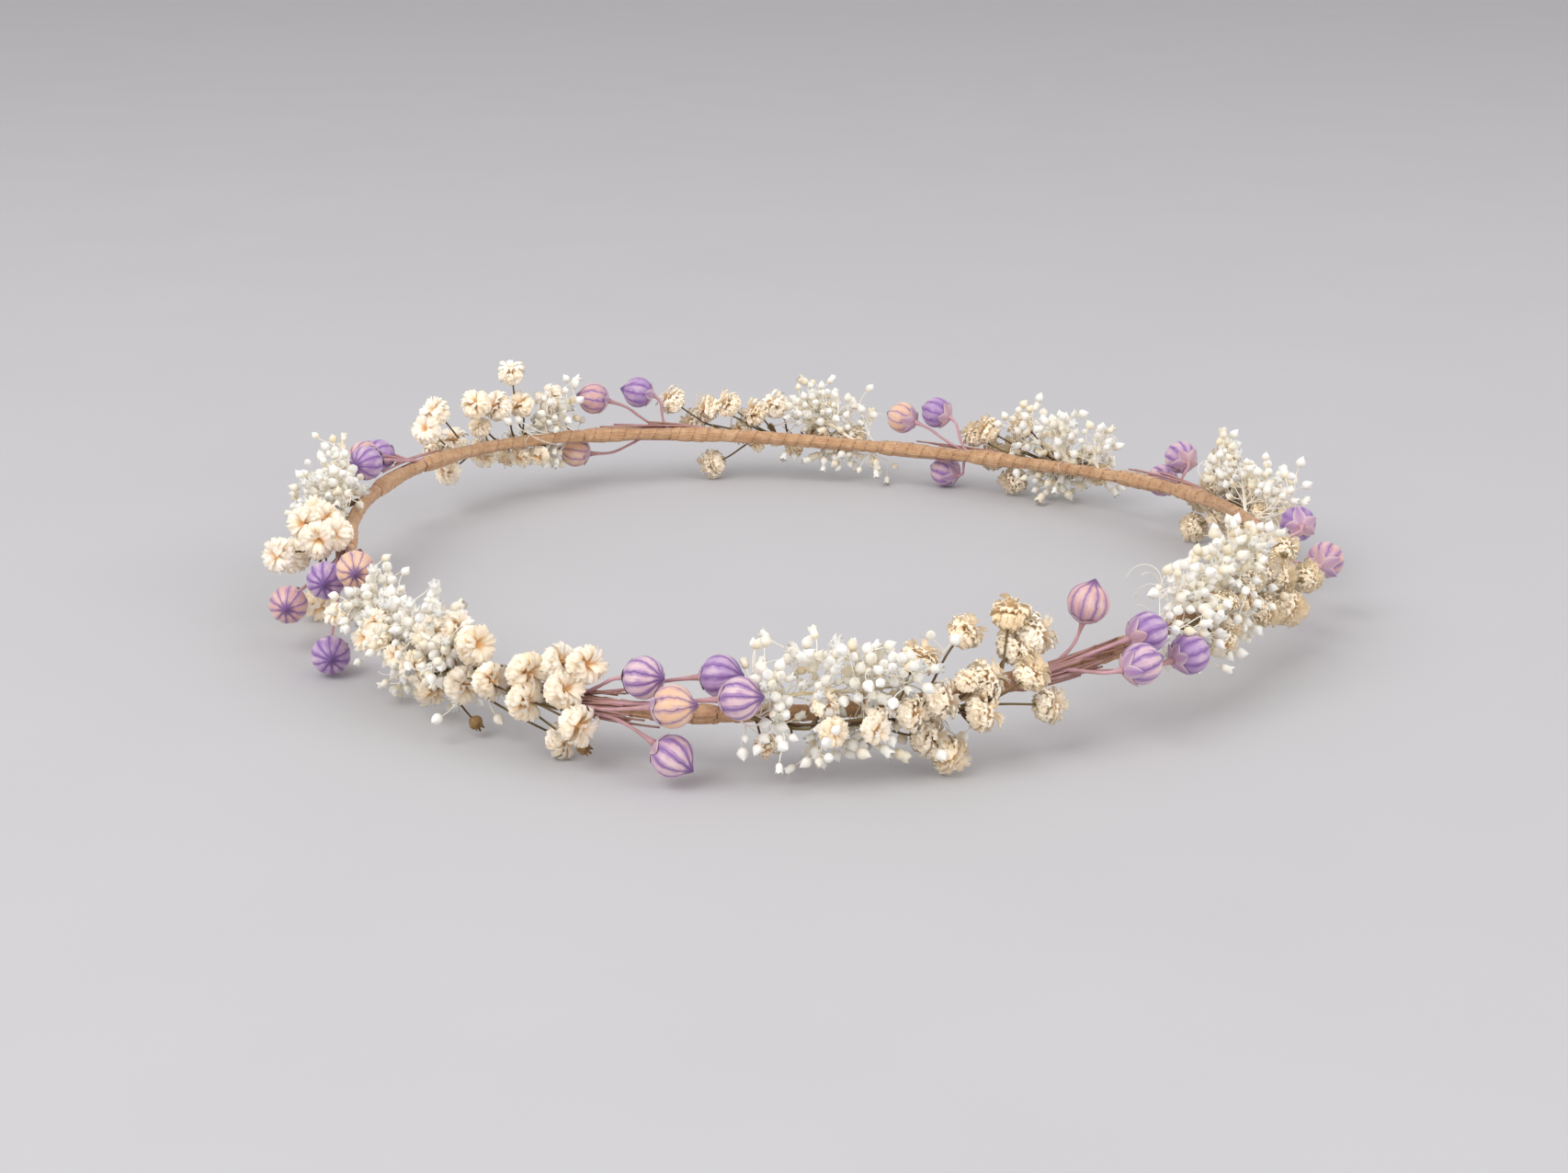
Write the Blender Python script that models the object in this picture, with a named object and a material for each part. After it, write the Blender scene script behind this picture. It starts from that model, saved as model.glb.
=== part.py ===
"""Flower crown: flax bolls, bleached sprigs and double gypsophila bound to a wire hoop with paper tape.

The crown lies flat with +Z up. The middle of the head opening is at the origin and the lowest
flowers rest on z = 0. Angles run counter-clockwise seen from above, and 270 degrees is the front.
Stems are bound at their cut ends and run counter-clockwise, so each bunch covers the next binding.
"""
import math
import random
from collections import namedtuple

import bmesh
import bpy
import numpy as np
from mathutils import Matrix, Vector

MM = 0.001

# Hoop
HOOP_RADIUS = 97.0 * MM
HOOP_HEIGHT = 13.0 * MM
HOOP_OVAL = 1.6 * MM
OVAL_TURN = -36
HOOP_EGG = 3.1 * MM
EGG_TURN = 19.5
HOOP_WAVE = 3.1 * MM
WAVE_TURN = -28
WIRE_DIAMETER = 1.2 * MM
WIRE_LAP = 30.0 * MM
LAP_START = 83

# Paper tape
TAPE_WALL = 0.3 * MM
TAPE_BREAK = 0.5 * MM
TAPE_TAPER = 5.0 * MM
TAIL_LENGTH = 9.0 * MM

# Stems and flowers
GAP = 0.3 * MM
STEM_DIAMETER = 0.8 * MM
STALK_DIAMETER = 1.0 * MM
BRANCH_DIAMETER = 0.6 * MM
BOLL_DIAMETER = 7.6 * MM
BOLL_POINT = 1.3
HEAD_DIAMETER = 7.0 * MM
BUD_DIAMETER = 2.8 * MM
SEED_DIAMETER = 2.6 * MM
BUD_SPACING = 2.4 * MM

# How stems and flowers lie
STALK_RISE = 12.0 * MM
STALK_ROLLS = (-75, 105)
STEM_PULL = 0.42
FLOWER_BACK = (4.0 * MM, 9.0 * MM)
BUD_BACK = (2.0 * MM, 7.0 * MM)
BUD_SHARES = (0.6, 1.0)
BUD_ROLLS = (-60, 110)
HEAD_SPREAD = (0.92, 1.06)
NUDGE = 0.02 * MM

# Facets
SECTION_STEP = 6
STALK_STEP = 4.5
LEAST_STEP = 0.3
WIRE_SIDES = 6
TAPE_SIDES = 8
BOLL_SIDES = 8
BOLL_LEVELS = (38, 72, 106, 140)
BALL_SIDES = 6
BALL_LEVELS = 4
STALK_SIDES = 5
BRANCH_SIDES = 3
TRIES = 400

Boll = namedtuple("Boll", "angle out up lean", defaults=[(1.0, 0.3, 0.15)])
Bunch = namedtuple("Bunch", "flax_mouth spray_mouth bolls white heads seeds")
White = namedtuple("White", "start end out rise drop")

# A flower's place is its angle in degrees, then millimetres outward and up from the wire.
# A head with REST for its height lies on the surface that the crown lies on.
REST = None
BUNCHES = (
    Bunch(
        186, 203,
        (Boll(201, 7.6, 2.9), Boll(205, 3.0, 7.0), Boll(201, 13.6, -6.0), Boll(209, 10.6, -7.4)),
        White(208, 237, 8.5, 13.0, 6.0),
        ((229, 3, 5), (230, 1, 7.5), (234, 2.5, 6), (228, 5, -4), (234, 6, 0), (238, 5.5, 2.5),
         (242, 4, 5), (243, 7, 1), (245, 1, 7.4), (248.5, 2, 8), (247, 5.5, 4), (250, 6.5, -1),
         (246, 3, REST)),
        ((235, 5, -7), (249, 6, -6)),
    ),
    Bunch(
        246, 262,
        (Boll(255, 2.6, 7.0), Boll(259.2, 11.0, 5.4, (1.0, 0.0, 0.1)),
         Boll(258.6, 9.0, -4.6, (1.0, 0.2, -0.6)), Boll(262.5, 0.8, 7.5), Boll(265, 8.0, 6.0)),
        White(264, 286, 9.0, 15.0, 9.0),
        ((282, 1, 8.4), (288, 1, 12), (288, 3, 8), (293, 1, 13.7), (289, 5, 4), (284, 6, 2.5),
         (288, 7.5, -1), (281, 7, 0.5), (283, 4, -5.6), (285, 5, REST), (293.5, 1.5, 7.5),
         (295.5, 3, 9.5), (294, 5.5, 3), (296, 5, -3.7)),
        (),
    ),
    Bunch(
        298, 310,
        (Boll(303, 0.8, 11.3, (0.3, 0.1, 1.0)), Boll(308.6, 6.0, 4.5), Boll(304.8, 11.0, 1.6),
         Boll(314, 7.8, -1.2)),
        White(313, 340, 10.0, 14.0, 8.0),
        ((330, 5, 5), (335, 4, 5.5), (339, 6.5, 1), (333, 7, -3), (338, 9, -5), (343, 5, 5),
         (344, 10, -1), (347, 5.5, -4)),
        (),
    ),
    Bunch(
        350, 5,
        (Boll(352.5, 12.5, -1.8), Boll(2.5, 9.0, 1.0, (1.0, 0.0, -0.1)),
         Boll(17.0, 9.5, -1.8, (1.0, -0.3, 0.3))),
        White(6, 24, 13.0, 12.0, 8.0),
        ((19, 6, -1), (22, 2, 6.5), (24, 6.5, 2), (25, 2.5, REST), (27, 7, -3), (21, 7, -6)),
        (),
    ),
    Bunch(
        27, 38,
        (Boll(30, 6, 6), Boll(34, 7.5, -1)),
        White(41, 60, 10.0, 13.0, 6.0),
        ((55, 3, 6), (58, 6, 2), (57, 5, REST), (60, 2, 7), (61, 6.5, -1), (63.5, 4, 5)),
        (),
    ),
    Bunch(
        63, 77,
        (Boll(69, 2.1, 8.3), Boll(74, 2.1, 7.6), Boll(67.5, 5.2, -5.9)),
        White(80, 95, 8.0, 14.0, 6.0),
        ((94, 2, 6), (97, 4, 5.5), (99, 6, 0), (101, 2, 8), (104, 4, 6), (106, 6, 1),
         (103, 5, REST), (110, 2.5, 7)),
        (),
    ),
    Bunch(
        109, 122,
        (Boll(120, 3.5, 8.6), Boll(114.5, 1.2, 7.6), Boll(122, 5.6, -5.3)),
        White(125, 136, 7.0, 9.0, 6.0),
        ((145, 3.4, 10.8), (147, 3, 7), (138, 3, 10.5), (135, 2.4, 9.4), (132, 4, 17), (127, 2.4, 10),
         (131, 2, 8), (141, 5, 2), (136, 6, -3), (143, 4, -5)),
        (),
    ),
    Bunch(
        150, 163,
        (Boll(154.5, 6.8, 3.5), Boll(160, 4.6, 5.8), Boll(165, 0.8, 7.4)),
        White(166, 183, 13.0, 15.0, 7.0),
        ((184, 4, 5), (186, 9, 6), (188, 12, 0), (190, 6.5, 4), (192, 3, 7), (189, 7, REST),
         (193, 15, 4), (195, 7, 8)),
        (),
    ),
)

Tape = namedtuple("Tape", "name start mouth stations bores")


# Places along the hoop

def hoop_point(angle):
    """The wire's centreline at an angle in degrees."""
    turn = math.radians(angle)
    oval = HOOP_OVAL * math.cos(2 * (turn - math.radians(OVAL_TURN)))
    egg = HOOP_EGG * math.cos(3 * (turn - math.radians(EGG_TURN)))
    wave = HOOP_WAVE * math.cos(2 * (turn - math.radians(WAVE_TURN)))
    radius = HOOP_RADIUS + oval + egg
    return Vector((radius * math.cos(turn), radius * math.sin(turn), HOOP_HEIGHT + wave))


def hoop_axes(angle):
    """Unit vectors along the wire, outward from the head, and up."""
    along = (hoop_point(angle + 0.01) - hoop_point(angle - 0.01)).normalized()
    outward = along.cross(Vector((0, 0, 1))).normalized()
    return along, outward, outward.cross(along)


def place(angle, out, up):
    """A point beside the wire, with its two distances in metres."""
    _, outward, upward = hoop_axes(angle)
    return hoop_point(angle) + outward * out + upward * up


def around(angle, radius, roll):
    """A point at a radius from the wire; roll 0 is outward and 90 is up, in degrees."""
    return place(angle, radius * math.cos(math.radians(roll)), radius * math.sin(math.radians(roll)))


def degrees_along(length):
    """The angle that a length takes up along the hoop."""
    return math.degrees(length / HOOP_RADIUS)


def spaced(start, end, step):
    """Even stations from start to end, no further apart than step."""
    count = max(1, math.ceil((end - start) / step - 1e-6))
    return [start + (end - start) * k / count for k in range(count + 1)]


# Tape sizes that follow from the wire and the stems

def flat_to_corner(radius):
    """The corner radius of a tape section whose flats lie at a radius."""
    return radius / math.cos(math.pi / TAPE_SIDES)


WIRE_BORE = flat_to_corner(WIRE_DIAMETER / 2 + GAP)
LAP_OFFSET = (WIRE_DIAMETER + GAP) / 2
LAP_BORE = flat_to_corner(LAP_OFFSET + WIRE_DIAMETER / 2 + GAP)


def tail_radius(diameter):
    """How far from the wire a stem's cut end lies, so that it clears the next tape's start."""
    return WIRE_BORE + TAPE_WALL + GAP + diameter / 2


def mouth_bore(diameter):
    return flat_to_corner(tail_radius(diameter) + diameter / 2 + GAP)


def mouths():
    """Every tape's mouth in order around the hoop: name, angle and stem diameter."""
    found = []
    for number, bunch in enumerate(BUNCHES, 1):
        turn = 360 if bunch.flax_mouth < BUNCHES[0].flax_mouth else 0
        found.append((f"flax_tape_{number}", bunch.flax_mouth + turn, STEM_DIAMETER))
        turn = 360 if bunch.spray_mouth < BUNCHES[0].flax_mouth else 0
        found.append((f"spray_tape_{number}", bunch.spray_mouth + turn, STALK_DIAMETER))
    return found


def make_tapes():
    """Each tape runs from the last mouth to its own, narrow at first and wide over the stems."""
    tapes = []
    found = mouths()
    previous = found[-1][1] - 360
    taper = degrees_along(TAPE_TAPER)
    lap = degrees_along(WIRE_LAP)
    for name, mouth, diameter in found:
        start = previous + degrees_along(TAPE_BREAK)
        tail = mouth - degrees_along(TAIL_LENGTH)
        wide = mouth_bore(diameter)
        profiles = [([start, tail - taper, tail, mouth], [WIRE_BORE, WIRE_BORE, wide, wide])]
        for turn in (0, 360):
            first = LAP_START + turn
            last = first + lap
            if first - taper < mouth and last + taper > start:
                angles = [first - taper, first, last, last + taper]
                profiles.append((angles, [WIRE_BORE, LAP_BORE, LAP_BORE, WIRE_BORE]))
        keys = [start]
        for key in sorted(angle for angles, _ in profiles for angle in angles):
            if keys[-1] + LEAST_STEP < key < mouth - LEAST_STEP:
                keys.append(key)
        keys.append(mouth)
        stations = [start]
        for low, high in zip(keys, keys[1:]):
            stations += spaced(low, high, SECTION_STEP)[1:]
        bores = [
            max(float(np.interp(angle, angles, widths)) for angles, widths in profiles)
            for angle in stations
        ]
        tapes.append(Tape(name, start, mouth, stations, bores))
        previous = mouth
    return tapes


TAPES = make_tapes()


def tape_outer(angle):
    """The covering's outer radius at an angle."""
    first = TAPES[0].start
    angle = (angle - first) % 360 + first
    for tape in TAPES:
        if tape.start <= angle <= tape.mouth:
            return float(np.interp(angle, tape.stations, tape.bores)) + TAPE_WALL
    return WIRE_DIAMETER / 2


# The space that solids take up, so that each new one finds a clear place

def segment_distances(start, end, starts, ends):
    """Distances from one segment to many."""
    run = end - start
    runs = ends - starts
    offset = start - starts
    a = max(float(run @ run), 1e-18)
    b = runs @ run
    c = np.maximum(np.einsum("ij,ij->i", runs, runs), 1e-18)
    d = offset @ run
    e = np.einsum("ij,ij->i", runs, offset)
    spread = a * c - b * b
    here = np.where(spread > 1e-15 * a, (b * e - c * d) / np.maximum(spread, 1e-30), 0.0)
    there = np.clip((b * np.clip(here, 0, 1) + e) / c, 0, 1)
    here = np.clip((b * there - d) / a, 0, 1)
    apart = offset + here[:, None] * run - there[:, None] * runs
    return np.sqrt(np.einsum("ij,ij->i", apart, apart))


class Space:
    """Round-ended rods, each with the name of the piece that it belongs to."""

    def __init__(self):
        self.rods = []
        self.owners = []

    def add(self, owner, rods):
        for start, end, radius in rods:
            self.rods.append((*start, *end, radius))
            self.owners.append(owner)

    def room(self, owner, rods):
        """The least gap between these rods and those of other pieces."""
        keep = [rod for rod, other in zip(self.rods, self.owners) if other != owner]
        if not keep:
            return math.inf
        table = np.array(keep)
        least = math.inf
        for start, end, radius in rods:
            gaps = segment_distances(np.array(start), np.array(end), table[:, 0:3], table[:, 3:6])
            least = min(least, float(np.min(gaps - table[:, 6] - radius)))
        return least


SPACE = Space()


def beside_hoop(point):
    """Where a point lies: its angle, and its distances outward and up from the wire."""
    angle = math.degrees(math.atan2(point.y, point.x))
    for _ in range(3):
        along, _, _ = hoop_axes(angle)
        angle += degrees_along((point - hoop_point(angle)).dot(along))
    _, outward, upward = hoop_axes(angle)
    offset = point - hoop_point(angle)
    return angle, offset.dot(outward), offset.dot(upward)


def ball_room(point, radius):
    """The gap from a ball to the tape, to the head and to the surface below."""
    angle, out, up = beside_hoop(point)
    away = math.hypot(out, up)
    least = math.inf
    for share in (-1, -0.5, 0, 0.5, 1):
        shift = share * (radius + GAP)
        disc = tape_outer(angle + degrees_along(shift))
        least = min(least, math.hypot(max(away - disc, 0), shift) - radius)
    head_side = out - radius + mouth_bore(STALK_DIAMETER) + TAPE_WALL + GAP
    below = point.z - radius + GAP
    return min(least, head_side, below)


def rod_room(start, end, radius):
    """The gap from a stem to the tape and to the surface below."""
    least = math.inf
    count = max(2, math.ceil((end - start).length / (1.0 * MM)))
    for k in range(count + 1):
        point = start.lerp(end, k / count)
        angle, out, up = beside_hoop(point)
        least = min(least, math.hypot(out, up) - tape_outer(angle) - radius)
        least = min(least, point.z - radius + GAP)
    return least


def path_rods(points, radius):
    return [(start, end, radius) for start, end in zip(points, points[1:])]


# Solids

def add_sweep(mesh, points, radii, sides):
    """A closed round body carried along a path; a radius of zero makes a point."""
    reach = len(points) - 1
    heading = (points[1] - points[0]).normalized()
    across = heading.orthogonal().normalized()
    rings = []
    for k, (point, radius) in enumerate(zip(points, radii)):
        after = (points[min(k + 1, reach)] - points[max(k - 1, 0)]).normalized()
        across = heading.rotation_difference(after) @ across
        across = (across - after * across.dot(after)).normalized()
        heading = after
        if radius == 0:
            rings.append([mesh.verts.new(point)])
            continue
        turns = [2 * math.pi * j / sides for j in range(sides)]
        side = heading.cross(across)
        rings.append([
            mesh.verts.new(point + (across * math.cos(turn) + side * math.sin(turn)) * radius)
            for turn in turns
        ])
    join_rings(mesh, rings, sides)
    for ring, step in ((rings[0], -1), (rings[-1], 1)):
        if len(ring) > 1:
            mesh.faces.new(ring[::step])


def join_rings(mesh, rings, sides):
    """Walls between rings; a ring of one vertex closes to a point."""
    for low, high in zip(rings, rings[1:]):
        for j in range(sides):
            k = (j + 1) % sides
            if len(high) == 1:
                mesh.faces.new((low[j], low[k], high[0]))
            elif len(low) == 1:
                mesh.faces.new((low[0], high[k], high[j]))
            else:
                mesh.faces.new((low[j], low[k], high[k], high[j]))


def add_ball(mesh, centre, diameter):
    """A ball with its poles up and down."""
    levels = [math.pi * k / BALL_LEVELS for k in range(BALL_LEVELS + 1)]
    loops = []
    for level in levels:
        flat = centre + Vector((0, 0, -math.cos(level) * diameter / 2))
        if level in (levels[0], levels[-1]):
            loops.append([mesh.verts.new(flat)])
            continue
        reach = math.sin(level) * diameter / 2
        turns = [2 * math.pi * j / BALL_SIDES for j in range(BALL_SIDES)]
        loops.append([
            mesh.verts.new(flat + Vector((math.cos(turn), math.sin(turn), 0)) * reach)
            for turn in turns
        ])
    join_rings(mesh, loops, BALL_SIDES)


def material(name, colour, roughness, metallic=0.0):
    made = bpy.data.materials.new(name)
    made.use_nodes = True
    shader = made.node_tree.nodes["Principled BSDF"]
    shader.inputs["Base Color"].default_value = (*colour, 1.0)
    shader.inputs["Roughness"].default_value = roughness
    shader.inputs["Metallic"].default_value = metallic
    return made


LOOKS = {
    "wire": ((0.20, 0.22, 0.20), 0.4, 1.0),
    "tape": ((0.55, 0.33, 0.19), 0.9, 0.0),
    "boll": ((0.42, 0.27, 0.50), 0.7, 0.0),
    "white": ((0.86, 0.84, 0.78), 0.8, 0.0),
    "gypsophila": ((0.84, 0.72, 0.50), 0.85, 0.0),
}


def finish(name, mesh, look):
    """A named object from a mesh, with its own material."""
    bmesh.ops.recalc_face_normals(mesh, faces=mesh.faces)
    bmesh.ops.triangulate(mesh, faces=mesh.faces)
    data = bpy.data.meshes.new(name)
    mesh.to_mesh(data)
    mesh.free()
    data.shade_smooth()
    data.set_sharp_from_angle(angle=math.radians(50))
    data.materials.append(material(name, *LOOKS[look]))
    made = bpy.data.objects.new(name, data)
    bpy.context.scene.collection.objects.link(made)
    return made


def united(name, parts, core, look):
    """One body from overlapping parts and the core that they all meet."""
    whole = finish(name, parts, look)
    tool = finish(name + "_core", core, look)
    union = whole.modifiers.new("union", "BOOLEAN")
    union.operation = "UNION"
    union.solver = "EXACT"
    union.use_self = True
    union.object = tool
    graph = bpy.context.evaluated_depsgraph_get()
    solid = bpy.data.meshes.new_from_object(whole.evaluated_get(graph))
    whole.modifiers.clear()
    whole.data = solid
    bpy.data.objects.remove(tool)
    return whole


# Pieces

def make_wire():
    """One wire bent once round and lapped side by side under the tape at the back."""
    lap = degrees_along(WIRE_LAP)
    ramp = degrees_along(TAPE_TAPER)
    keys = [0, lap, lap + ramp, 360 - ramp, 360, 360 + lap]
    offsets = [-LAP_OFFSET, -LAP_OFFSET, 0, 0, LAP_OFFSET, LAP_OFFSET]
    stations = [0]
    for low, high in zip(keys, keys[1:]):
        stations += spaced(low, high, SECTION_STEP)[1:]
    points = [place(LAP_START + s, float(np.interp(s, keys, offsets)), 0) for s in stations]
    mesh = bmesh.new()
    add_sweep(mesh, points, [WIRE_DIAMETER / 2] * len(points), WIRE_SIDES)
    finish("hoop_wire", mesh, "wire")


def make_tape(tape):
    """A tube of wound paper, open at both ends."""
    mesh = bmesh.new()
    walls = []
    for wall in (TAPE_WALL, 0):
        rings = []
        for angle, bore in zip(tape.stations, tape.bores):
            rolls = [(j + 0.5) * 360 / TAPE_SIDES for j in range(TAPE_SIDES)]
            rings.append([mesh.verts.new(around(angle, bore + wall, roll)) for roll in rolls])
        join_rings(mesh, rings, TAPE_SIDES)
        walls.append(rings)
    outer, inner = walls
    for end in (0, -1):
        join_rings(mesh, [outer[end], inner[end]], TAPE_SIDES)
    finish(tape.name, mesh, "tape")


def bezier(start, start_pull, end_pull, end, share):
    rest = 1 - share
    return (start * rest ** 3 + start_pull * 3 * rest ** 2 * share
            + end_pull * 3 * rest * share ** 2 + end * share ** 3)


def boll_path(mouth, roll, centre, axis):
    """From the cut end under the tape, out of the mouth and on to the boll's base."""
    radius = tail_radius(STEM_DIAMETER)
    tail = around(mouth - degrees_along(TAIL_LENGTH), radius, roll)
    leave = around(mouth, radius, roll)
    along, _, _ = hoop_axes(mouth)
    cap = math.asin(STEM_DIAMETER / BOLL_DIAMETER)
    base = centre - axis * (BOLL_DIAMETER / 2 * math.cos(cap))
    pull = STEM_PULL * (base - leave).length
    curve = [bezier(leave, leave + along * pull, base - axis * pull, base, k / 4) for k in range(5)]
    return [tail] + curve


def boll_rods(path, centre, axis):
    """The space of a boll: its stem, its ball and, as a thinner rod, its point."""
    radius = BOLL_DIAMETER / 2
    slim = (BOLL_POINT - 1) * radius
    rods = path_rods(path[1:], STEM_DIAMETER / 2)
    rods.append((centre, centre, radius))
    rods.append((centre + axis * (radius - slim), centre + axis * (radius + slim / 2), slim))
    return rods


def make_boll(name, mouth, roll, boll, seed):
    """A round flax seed case on its own stem, drawn out to a point."""
    chance = random.Random(seed)
    radius = BOLL_DIAMETER / 2
    best = None
    for attempt in range(TRIES):
        loose = attempt * NUDGE
        shift = [chance.uniform(-loose, loose) for _ in range(3)]
        angle = boll.angle + degrees_along(shift[0])
        centre = place(angle, boll.out * MM + shift[1], boll.up * MM + shift[2])
        along, outward, upward = hoop_axes(angle)
        axis = (along * boll.lean[0] + outward * boll.lean[1] + upward * boll.lean[2]).normalized()
        path = boll_path(mouth, roll, centre, axis)
        rods = boll_rods(path, centre, axis)
        tip = centre + axis * (BOLL_POINT * radius)
        room = min(SPACE.room(name, rods), ball_room(centre, radius), rod_room(tip, tip, GAP))
        for start, end, thick in path_rods(path[2:], STEM_DIAMETER / 2):
            room = min(room, rod_room(start, end, thick))
        if best is None or room > best[0]:
            best = (room, path, centre, axis, rods)
        if room >= GAP:
            break
    _, path, centre, axis, rods = best
    SPACE.add(name, rods)
    points = list(path)
    radii = [STEM_DIAMETER / 2] * len(path)
    for level in BOLL_LEVELS:
        turn = math.radians(level)
        points.append(centre - axis * (radius * math.cos(turn)))
        radii.append(radius * math.sin(turn))
    points.append(centre + axis * (BOLL_POINT * radius))
    radii.append(0)
    mesh = bmesh.new()
    add_sweep(mesh, points, radii, BOLL_SIDES)
    finish(name, mesh, "boll")


def make_bolls(number, bunch):
    """The bunch's bolls, their stems side by side in the tape in the order of their rolls."""
    radius = tail_radius(STEM_DIAMETER)
    pitch = math.degrees(2 * math.asin((STEM_DIAMETER + GAP) / 2 / radius))
    rolls = [math.degrees(math.atan2(boll.up, boll.out)) for boll in bunch.bolls]
    order = sorted(range(len(rolls)), key=lambda k: rolls[k])
    middle = sum(rolls) / len(rolls)
    for slot, k in enumerate(order):
        roll = middle + (slot - (len(order) - 1) / 2) * pitch
        name = f"flax_boll_{number}_{k + 1}"
        make_boll(name, bunch.flax_mouth, roll, bunch.bolls[k], 100 * number + k)


def stalk_path(mouth, roll, end, lane, lane_roll):
    """A main stalk that leaves the tape and follows the hoop along a lane of its own."""
    radius = tail_radius(STALK_DIAMETER)
    points = [around(mouth - degrees_along(TAIL_LENGTH), radius, roll)]
    rise = degrees_along(STALK_RISE)
    for angle in spaced(mouth, end, STALK_STEP):
        share = min(1.0, (angle - mouth) / rise)
        share = share * share * (3 - 2 * share)
        points.append(around(angle, radius + (lane - radius) * share, roll + (lane_roll - roll) * share))
    return points


def settle_stalk(name, mouth, roll, end, chance):
    """The first clear lane for a sprig's main stalk, looked for in an ever wider band."""
    low = mouth_bore(STALK_DIAMETER) + TAPE_WALL + GAP + STALK_DIAMETER / 2
    best = None
    for attempt in range(TRIES):
        loose = attempt / TRIES
        lane = low + chance.uniform(0.2, 1.5 + 5 * loose) * MM
        lane_roll = roll + chance.uniform(-20 - 90 * loose, 20 + 90 * loose)
        points = stalk_path(mouth, roll, end, lane, float(np.clip(lane_roll, *STALK_ROLLS)))
        rods = path_rods(points[1:], STALK_DIAMETER / 2)
        room = min([SPACE.room(name, rods)] + [rod_room(*rod) for rod in rods[1:]])
        if best is None or room > best[0]:
            best = (room, points)
        if room >= GAP:
            break
    SPACE.add(name, path_rods(best[1][1:], STALK_DIAMETER / 2))
    return best[1]


def stalk_point(stalk, angle):
    """The place on a stalk nearest to an angle along the hoop, short of its two ends."""
    best = None
    for start, end in zip(stalk[1:], stalk[2:]):
        for share in (0.0, 0.25, 0.5, 0.75):
            point = start.lerp(end, share)
            miss = abs((beside_hoop(point)[0] - angle + 180) % 360 - 180)
            if best is None or miss < best[0]:
                best = (miss, point)
    return best[1]


def settle_flower(name, stalk, target, diameter, back, chance):
    """A clear place near the target, with a clear branch to it from further back on the stalk."""
    angle, out, up = target
    best = None
    for attempt in range(TRIES):
        loose = attempt * NUDGE
        shift = [chance.uniform(-loose, loose) for _ in range(3)]
        here = angle + degrees_along(shift[0])
        centre = place(here, out * MM + shift[1], (up or 0) * MM + shift[2])
        if up is REST:
            centre.z = diameter / 2
        root = stalk_point(stalk, here - degrees_along(chance.uniform(*back)))
        branch = (root, centre, BRANCH_DIAMETER / 2)
        rods = [(centre, centre, diameter / 2), branch]
        room = min(SPACE.room(name, rods), ball_room(centre, diameter / 2), rod_room(*branch))
        if best is None or room > best[0]:
            best = (room, root, centre, rods)
        if room >= GAP:
            break
    _, root, centre, rods = best
    SPACE.add(name, rods)
    return root, centre


def add_branch(mesh, root, centre):
    add_sweep(mesh, [root, centre], [BRANCH_DIAMETER / 2] * 2, BRANCH_SIDES)


def make_stalk(stalk):
    core = bmesh.new()
    radii = [STALK_DIAMETER / 2] * len(stalk)
    radii[-1] = BRANCH_DIAMETER / 2
    add_sweep(core, stalk, radii, STALK_SIDES)
    return core


def make_gypsophila(number, bunch, stalk):
    """A branching sprig with a ball of petals on each branch."""
    name = f"gypsophila_{number}"
    chance = random.Random(500 + number)
    parts = bmesh.new()
    for head in bunch.heads:
        diameter = HEAD_DIAMETER * chance.uniform(*HEAD_SPREAD)
        root, centre = settle_flower(name, stalk, head, diameter, FLOWER_BACK, chance)
        add_branch(parts, root, centre)
        add_ball(parts, centre, diameter)
    for seed in bunch.seeds:
        root, centre = settle_flower(name, stalk, seed, SEED_DIAMETER, FLOWER_BACK, chance)
        add_branch(parts, root, centre)
        bmesh.ops.create_icosphere(
            parts, subdivisions=1, radius=SEED_DIAMETER / 2, matrix=Matrix.Translation(centre))
    united(name, parts, make_stalk(stalk), "gypsophila")


def make_white(number, bunch, stalk):
    """A bleached sprig with a small bud at the end of each fine branch."""
    name = f"white_sprig_{number}"
    chance = random.Random(800 + number)
    white = bunch.white
    parts = bmesh.new()
    length = math.radians(white.end - white.start) * HOOP_RADIUS
    count = max(4, round(length / BUD_SPACING))
    for k in range(count):
        angle = white.start + (white.end - white.start) * (k + 0.5) / count
        share = chance.uniform(*BUD_SHARES)
        roll = math.radians(chance.uniform(*BUD_ROLLS))
        rise = white.rise if roll > 0 else white.drop
        target = (angle, share * white.out * math.cos(roll), share * rise * math.sin(roll))
        root, centre = settle_flower(name, stalk, target, BUD_DIAMETER, BUD_BACK, chance)
        add_branch(parts, root, centre)
        bmesh.ops.create_icosphere(
            parts, subdivisions=1, radius=BUD_DIAMETER / 2, matrix=Matrix.Translation(centre))
    united(name, parts, make_stalk(stalk), "white")


def main():
    for old in list(bpy.data.objects):
        bpy.data.objects.remove(old)
    make_wire()
    for tape in TAPES:
        make_tape(tape)
    for number, bunch in enumerate(BUNCHES, 1):
        make_bolls(number, bunch)
    stalks = []
    for number, bunch in enumerate(BUNCHES, 1):
        chance = random.Random(300 + number)
        heads_end = max(head[0] for head in bunch.heads) - degrees_along(FLOWER_BACK[0])
        gypsophila = settle_stalk(
            f"gypsophila_{number}", bunch.spray_mouth, -5, heads_end, chance)
        white_end = bunch.white.end - degrees_along(BUD_BACK[0])
        white = settle_stalk(
            f"white_sprig_{number}", bunch.spray_mouth, 60, white_end, chance)
        stalks.append((gypsophila, white))
    for number, (bunch, (stalk, _)) in enumerate(zip(BUNCHES, stalks), 1):
        make_gypsophila(number, bunch, stalk)
    for number, (bunch, (_, stalk)) in enumerate(zip(BUNCHES, stalks), 1):
        make_white(number, bunch, stalk)


main()
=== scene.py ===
"""Looks of a dried flower crown: wound paper tape, flax bolls, bleached sprigs and double gypsophila."""
import math

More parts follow.
